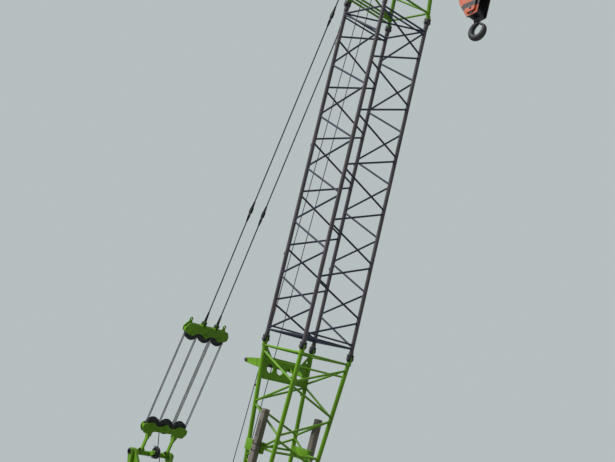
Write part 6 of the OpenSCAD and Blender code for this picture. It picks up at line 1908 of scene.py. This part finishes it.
def cab_controls():
    p = Piece("operator_controls", "plastic", "rubber", "pin", "glass", "machined")
    for side in SIDES:
        p.base = shift(0, 1.51 + side * 0.33, CAB_LOW)
        p.box((0.76, -0.06, 0.06), (1.3, 0.06, 0.53), 0.02, 0, 3)
        p.box((0.8, -0.055, 0.53), (1.26, 0.055, 0.618), 0.02, 0, 3)
        for x, high in ((0.98, 0.2), (1.1, 0.17), (1.2, 0.14)):
            foot = Vector((x, 0, 0.615))
            tip = foot + Vector((0.02, 0.01 * side, high))
            p.turned([(0.034, 0), (0.026, 0.014), (0.03, 0.02), (0.018, 0.036), (0, 0.04)], shift(*foot),
                18, 1)
            p.tube(foot, tip, 0.006, 10, 2)
            p.turned([(0, -0.04), (0.012, -0.038), (0.018, 0.0), (0.016, 0.022), (0, 0.03)], shift(*tip),
                16)
        for k in range(6):
            p.turned([(0, 0), (0.008, 0), (0.007, 0.005), (0, 0.006)], shift(0.84 + 0.028 * (k % 3),
                0.04 * (k // 3) - 0.02, 0.618), 12, 4 if k % 2 else 1)
    p.base = shift(0, 1.51, CAB_LOW)
    p.box((1.56, -0.2, 0.06), (1.7, 0.2, 0.5), 0.02, 0, 3)
    p.base = p.base @ shift(1.6, 0, 0.49) @ turn(-0.45, "Y")
    p.box((-0.02, -0.19, 0), (0.05, 0.19, 0.11), 0.012)
    p.box((-0.0225, -0.16, 0.02), (-0.019, 0.02, 0.1), 0.001, 3)
    for k in range(3):
        p.turned([(0, 0), (0.019, 0), (0.019, 0.004), (0.016, 0.005), (0, 0.003)],
            shift(-0.021, 0.055 + 0.045 * k, 0.062) @ turn(-pi / 2, "Y"), 20, 4)
    for y in (1.4, 1.51, 1.62):
        p.base = shift(1.44, y, CAB_LOW + 0.1)
        p.tube((0.02, 0, -0.045), (0.02, 0, 0.01), 0.012, 12, 2)
        p.base = p.base @ turn(-0.6, "Y")
        p.box((-0.05, -0.04, 0), (0.07, 0.04, 0.012), 0.004, 1)
    p.done("upper_works", "control_stands")


class CRANE_OT_cab(bpy.types.Operator):
    """Make the cab's glass, door, trim, fittings, seat and controls"""

    bl_idname = "crane.cab"
    bl_label = "Cab"

    def execute(self, context):
        cab_trim()
        cab_door()
        cab_fittings()
        cab_seat()
        cab_controls()
        return {"FINISHED"}


class CRANE_OT_bodywork(bpy.types.Operator):
    """Give the frame's own pieces their finishes"""

    bl_idname = "crane.bodywork"
    bl_label = "Bodywork finishes"

    def execute(self, context):
        by_slot = {slot: finishes[key] for key, slot in SLOTS.items()}
        for part in frame["record"]["subparts"]:
            node, paint = frame["nodes"][part["node"]], by_slot[part["material_slot"]]
            if not node.material_slots:
                node.data.materials.append(paint)
            for slot in node.material_slots:
                slot.material = paint
        return {"FINISHED"}


def look_along(obj, way):
    obj.rotation_euler = Vector(way).to_track_quat("-Z", "Y").to_euler()


def set_camera(scene):
    data = bpy.data.cameras.new("camera")
    data.sensor_fit, data.sensor_width = "HORIZONTAL", 36.0
    data.lens, data.clip_end = sizes().lens, 400
    cam = bpy.data.objects.new("camera", data)
    scene.collection.objects.link(cam)
    heading, pitch = 2.38207, 0.41053
    look_along(cam, (cos(heading) * cos(pitch), sin(heading) * cos(pitch), sin(pitch)))
    cam.location = (19.3226, -15.2617, 1.6096)
    scene.camera = cam


def set_light(scene):
    world = bpy.data.worlds.new("sky")
    scene.world = world
    world.use_nodes = True
    tree = world.node_tree
    sky, seen = tree.nodes["Background"], tree.nodes.new("ShaderNodeBackground")
    for shader, colour, strength in ((seen, colours().backdrop, 1.0),
            (sky, (0.93, 0.97, 1.0), sizes().sky_strength)):
        shader.inputs["Color"].default_value = (*colour, 1)
        shader.inputs["Strength"].default_value = strength
    mix = tree.nodes.new("ShaderNodeMixShader")
    for socket, place in zip((seen_directly(tree), sky.outputs[0], seen.outputs[0]), mix.inputs):
        tree.links.new(socket, place)
    tree.links.new(mix.outputs[0], tree.nodes["World Output"].inputs[0])
    key = bpy.data.lights.new("key", "SUN")
    key.energy, key.angle = sizes().key_strength, radians(25)
    lamp = bpy.data.objects.new("key", key)
    scene.collection.objects.link(lamp)
    look_along(lamp, (0.25, 0.75, -0.9))


def seen_directly(tree):
    """Socket that is 1 for what the camera, a mirror or a window pane shows."""
    path = tree.nodes.new("ShaderNodeLightPath")
    socket = path.outputs["Is Camera Ray"]
    for name in ("Is Glossy Ray", "Is Transmission Ray"):
        either = tree.nodes.new("ShaderNodeMath")
        either.operation = "MAXIMUM"
        tree.links.new(socket, either.inputs[0])
        tree.links.new(path.outputs[name], either.inputs[1])
        socket = either.outputs[0]
    return socket


def make_floor(scene):
    form = bmesh.new()
    bmesh.ops.create_circle(form, cap_ends=True, segments=96, radius=150)
    mesh = bpy.data.meshes.new("floor")
    form.to_mesh(mesh)
    form.free()
    p = Paint("pale_floor", {"Roughness": 0.9, "Specular IOR Level": 0.1})
    pale = p.blend(p.noise(0.35, 5), (0.5, 0.51, 0.51), (0.56, 0.57, 0.57))
    seen = Value(p, seen_directly(p.tree))
    mesh.materials.append(p.finish(p.blend(seen, (0.16, 0.16, 0.155), pale)))
    floor = bpy.data.objects.new("floor", mesh)
    scene.collection.objects.link(floor)


class CRANE_OT_stage(bpy.types.Operator):
    """Set up the pale floor, the backdrop, the soft light and the camera"""

    bl_idname = "crane.stage"
    bl_label = "Stage"

    def execute(self, context):
        scene = context.scene
        set_camera(scene)
        set_light(scene)
        make_floor(scene)
        scene.view_settings.view_transform = "Standard"
        return {"FINISHED"}


OPERATORS = (CRANE_OT_stage, CRANE_OT_finishes, CRANE_OT_boom_sections, CRANE_OT_suspension,
    CRANE_OT_boom_head, CRANE_OT_hook_block, CRANE_OT_hoist_ropes, CRANE_OT_crawlers, CRANE_OT_car_body,
    CRANE_OT_deck, CRANE_OT_hoods, CRANE_OT_walkways, CRANE_OT_counterweight, CRANE_OT_gantry,
    CRANE_OT_cab, CRANE_OT_bodywork,)


class CRANE_PT_panel(bpy.types.Panel):
    """Lists the crane's pieces, sizes and colours"""

    bl_idname = "CRANE_PT_panel"
    bl_label = "Crawler crane"
    bl_space_type = "VIEW_3D"
    bl_region_type = "UI"
    bl_category = "Crane"

    def draw(self, context):
        layout = self.layout
        for group in (context.scene.crane_colours, context.scene.crane_sizes):
            for name in group.__annotations__:
                layout.prop(group, name)
        for operator in OPERATORS:
            layout.operator(operator.bl_idname)


CLASSES = (CraneColours, CraneSizes, *OPERATORS, CRANE_PT_panel)


def register():
    for cls in CLASSES:
        bpy.utils.register_class(cls)
    bpy.types.Scene.crane_colours = PointerProperty(type=CraneColours)
    bpy.types.Scene.crane_sizes = PointerProperty(type=CraneSizes)


def unregister():
    del bpy.types.Scene.crane_sizes
    del bpy.types.Scene.crane_colours
    for cls in reversed(CLASSES):
        bpy.utils.unregister_class(cls)


def main():
    register()
    for operator in OPERATORS:
        group, name = operator.bl_idname.split(".")
        result = getattr(getattr(bpy.ops, group), name)()
        if result != {"FINISHED"}:
            raise RuntimeError(f"{operator.bl_label} did not finish")


if __name__ == "__main__":
    main()
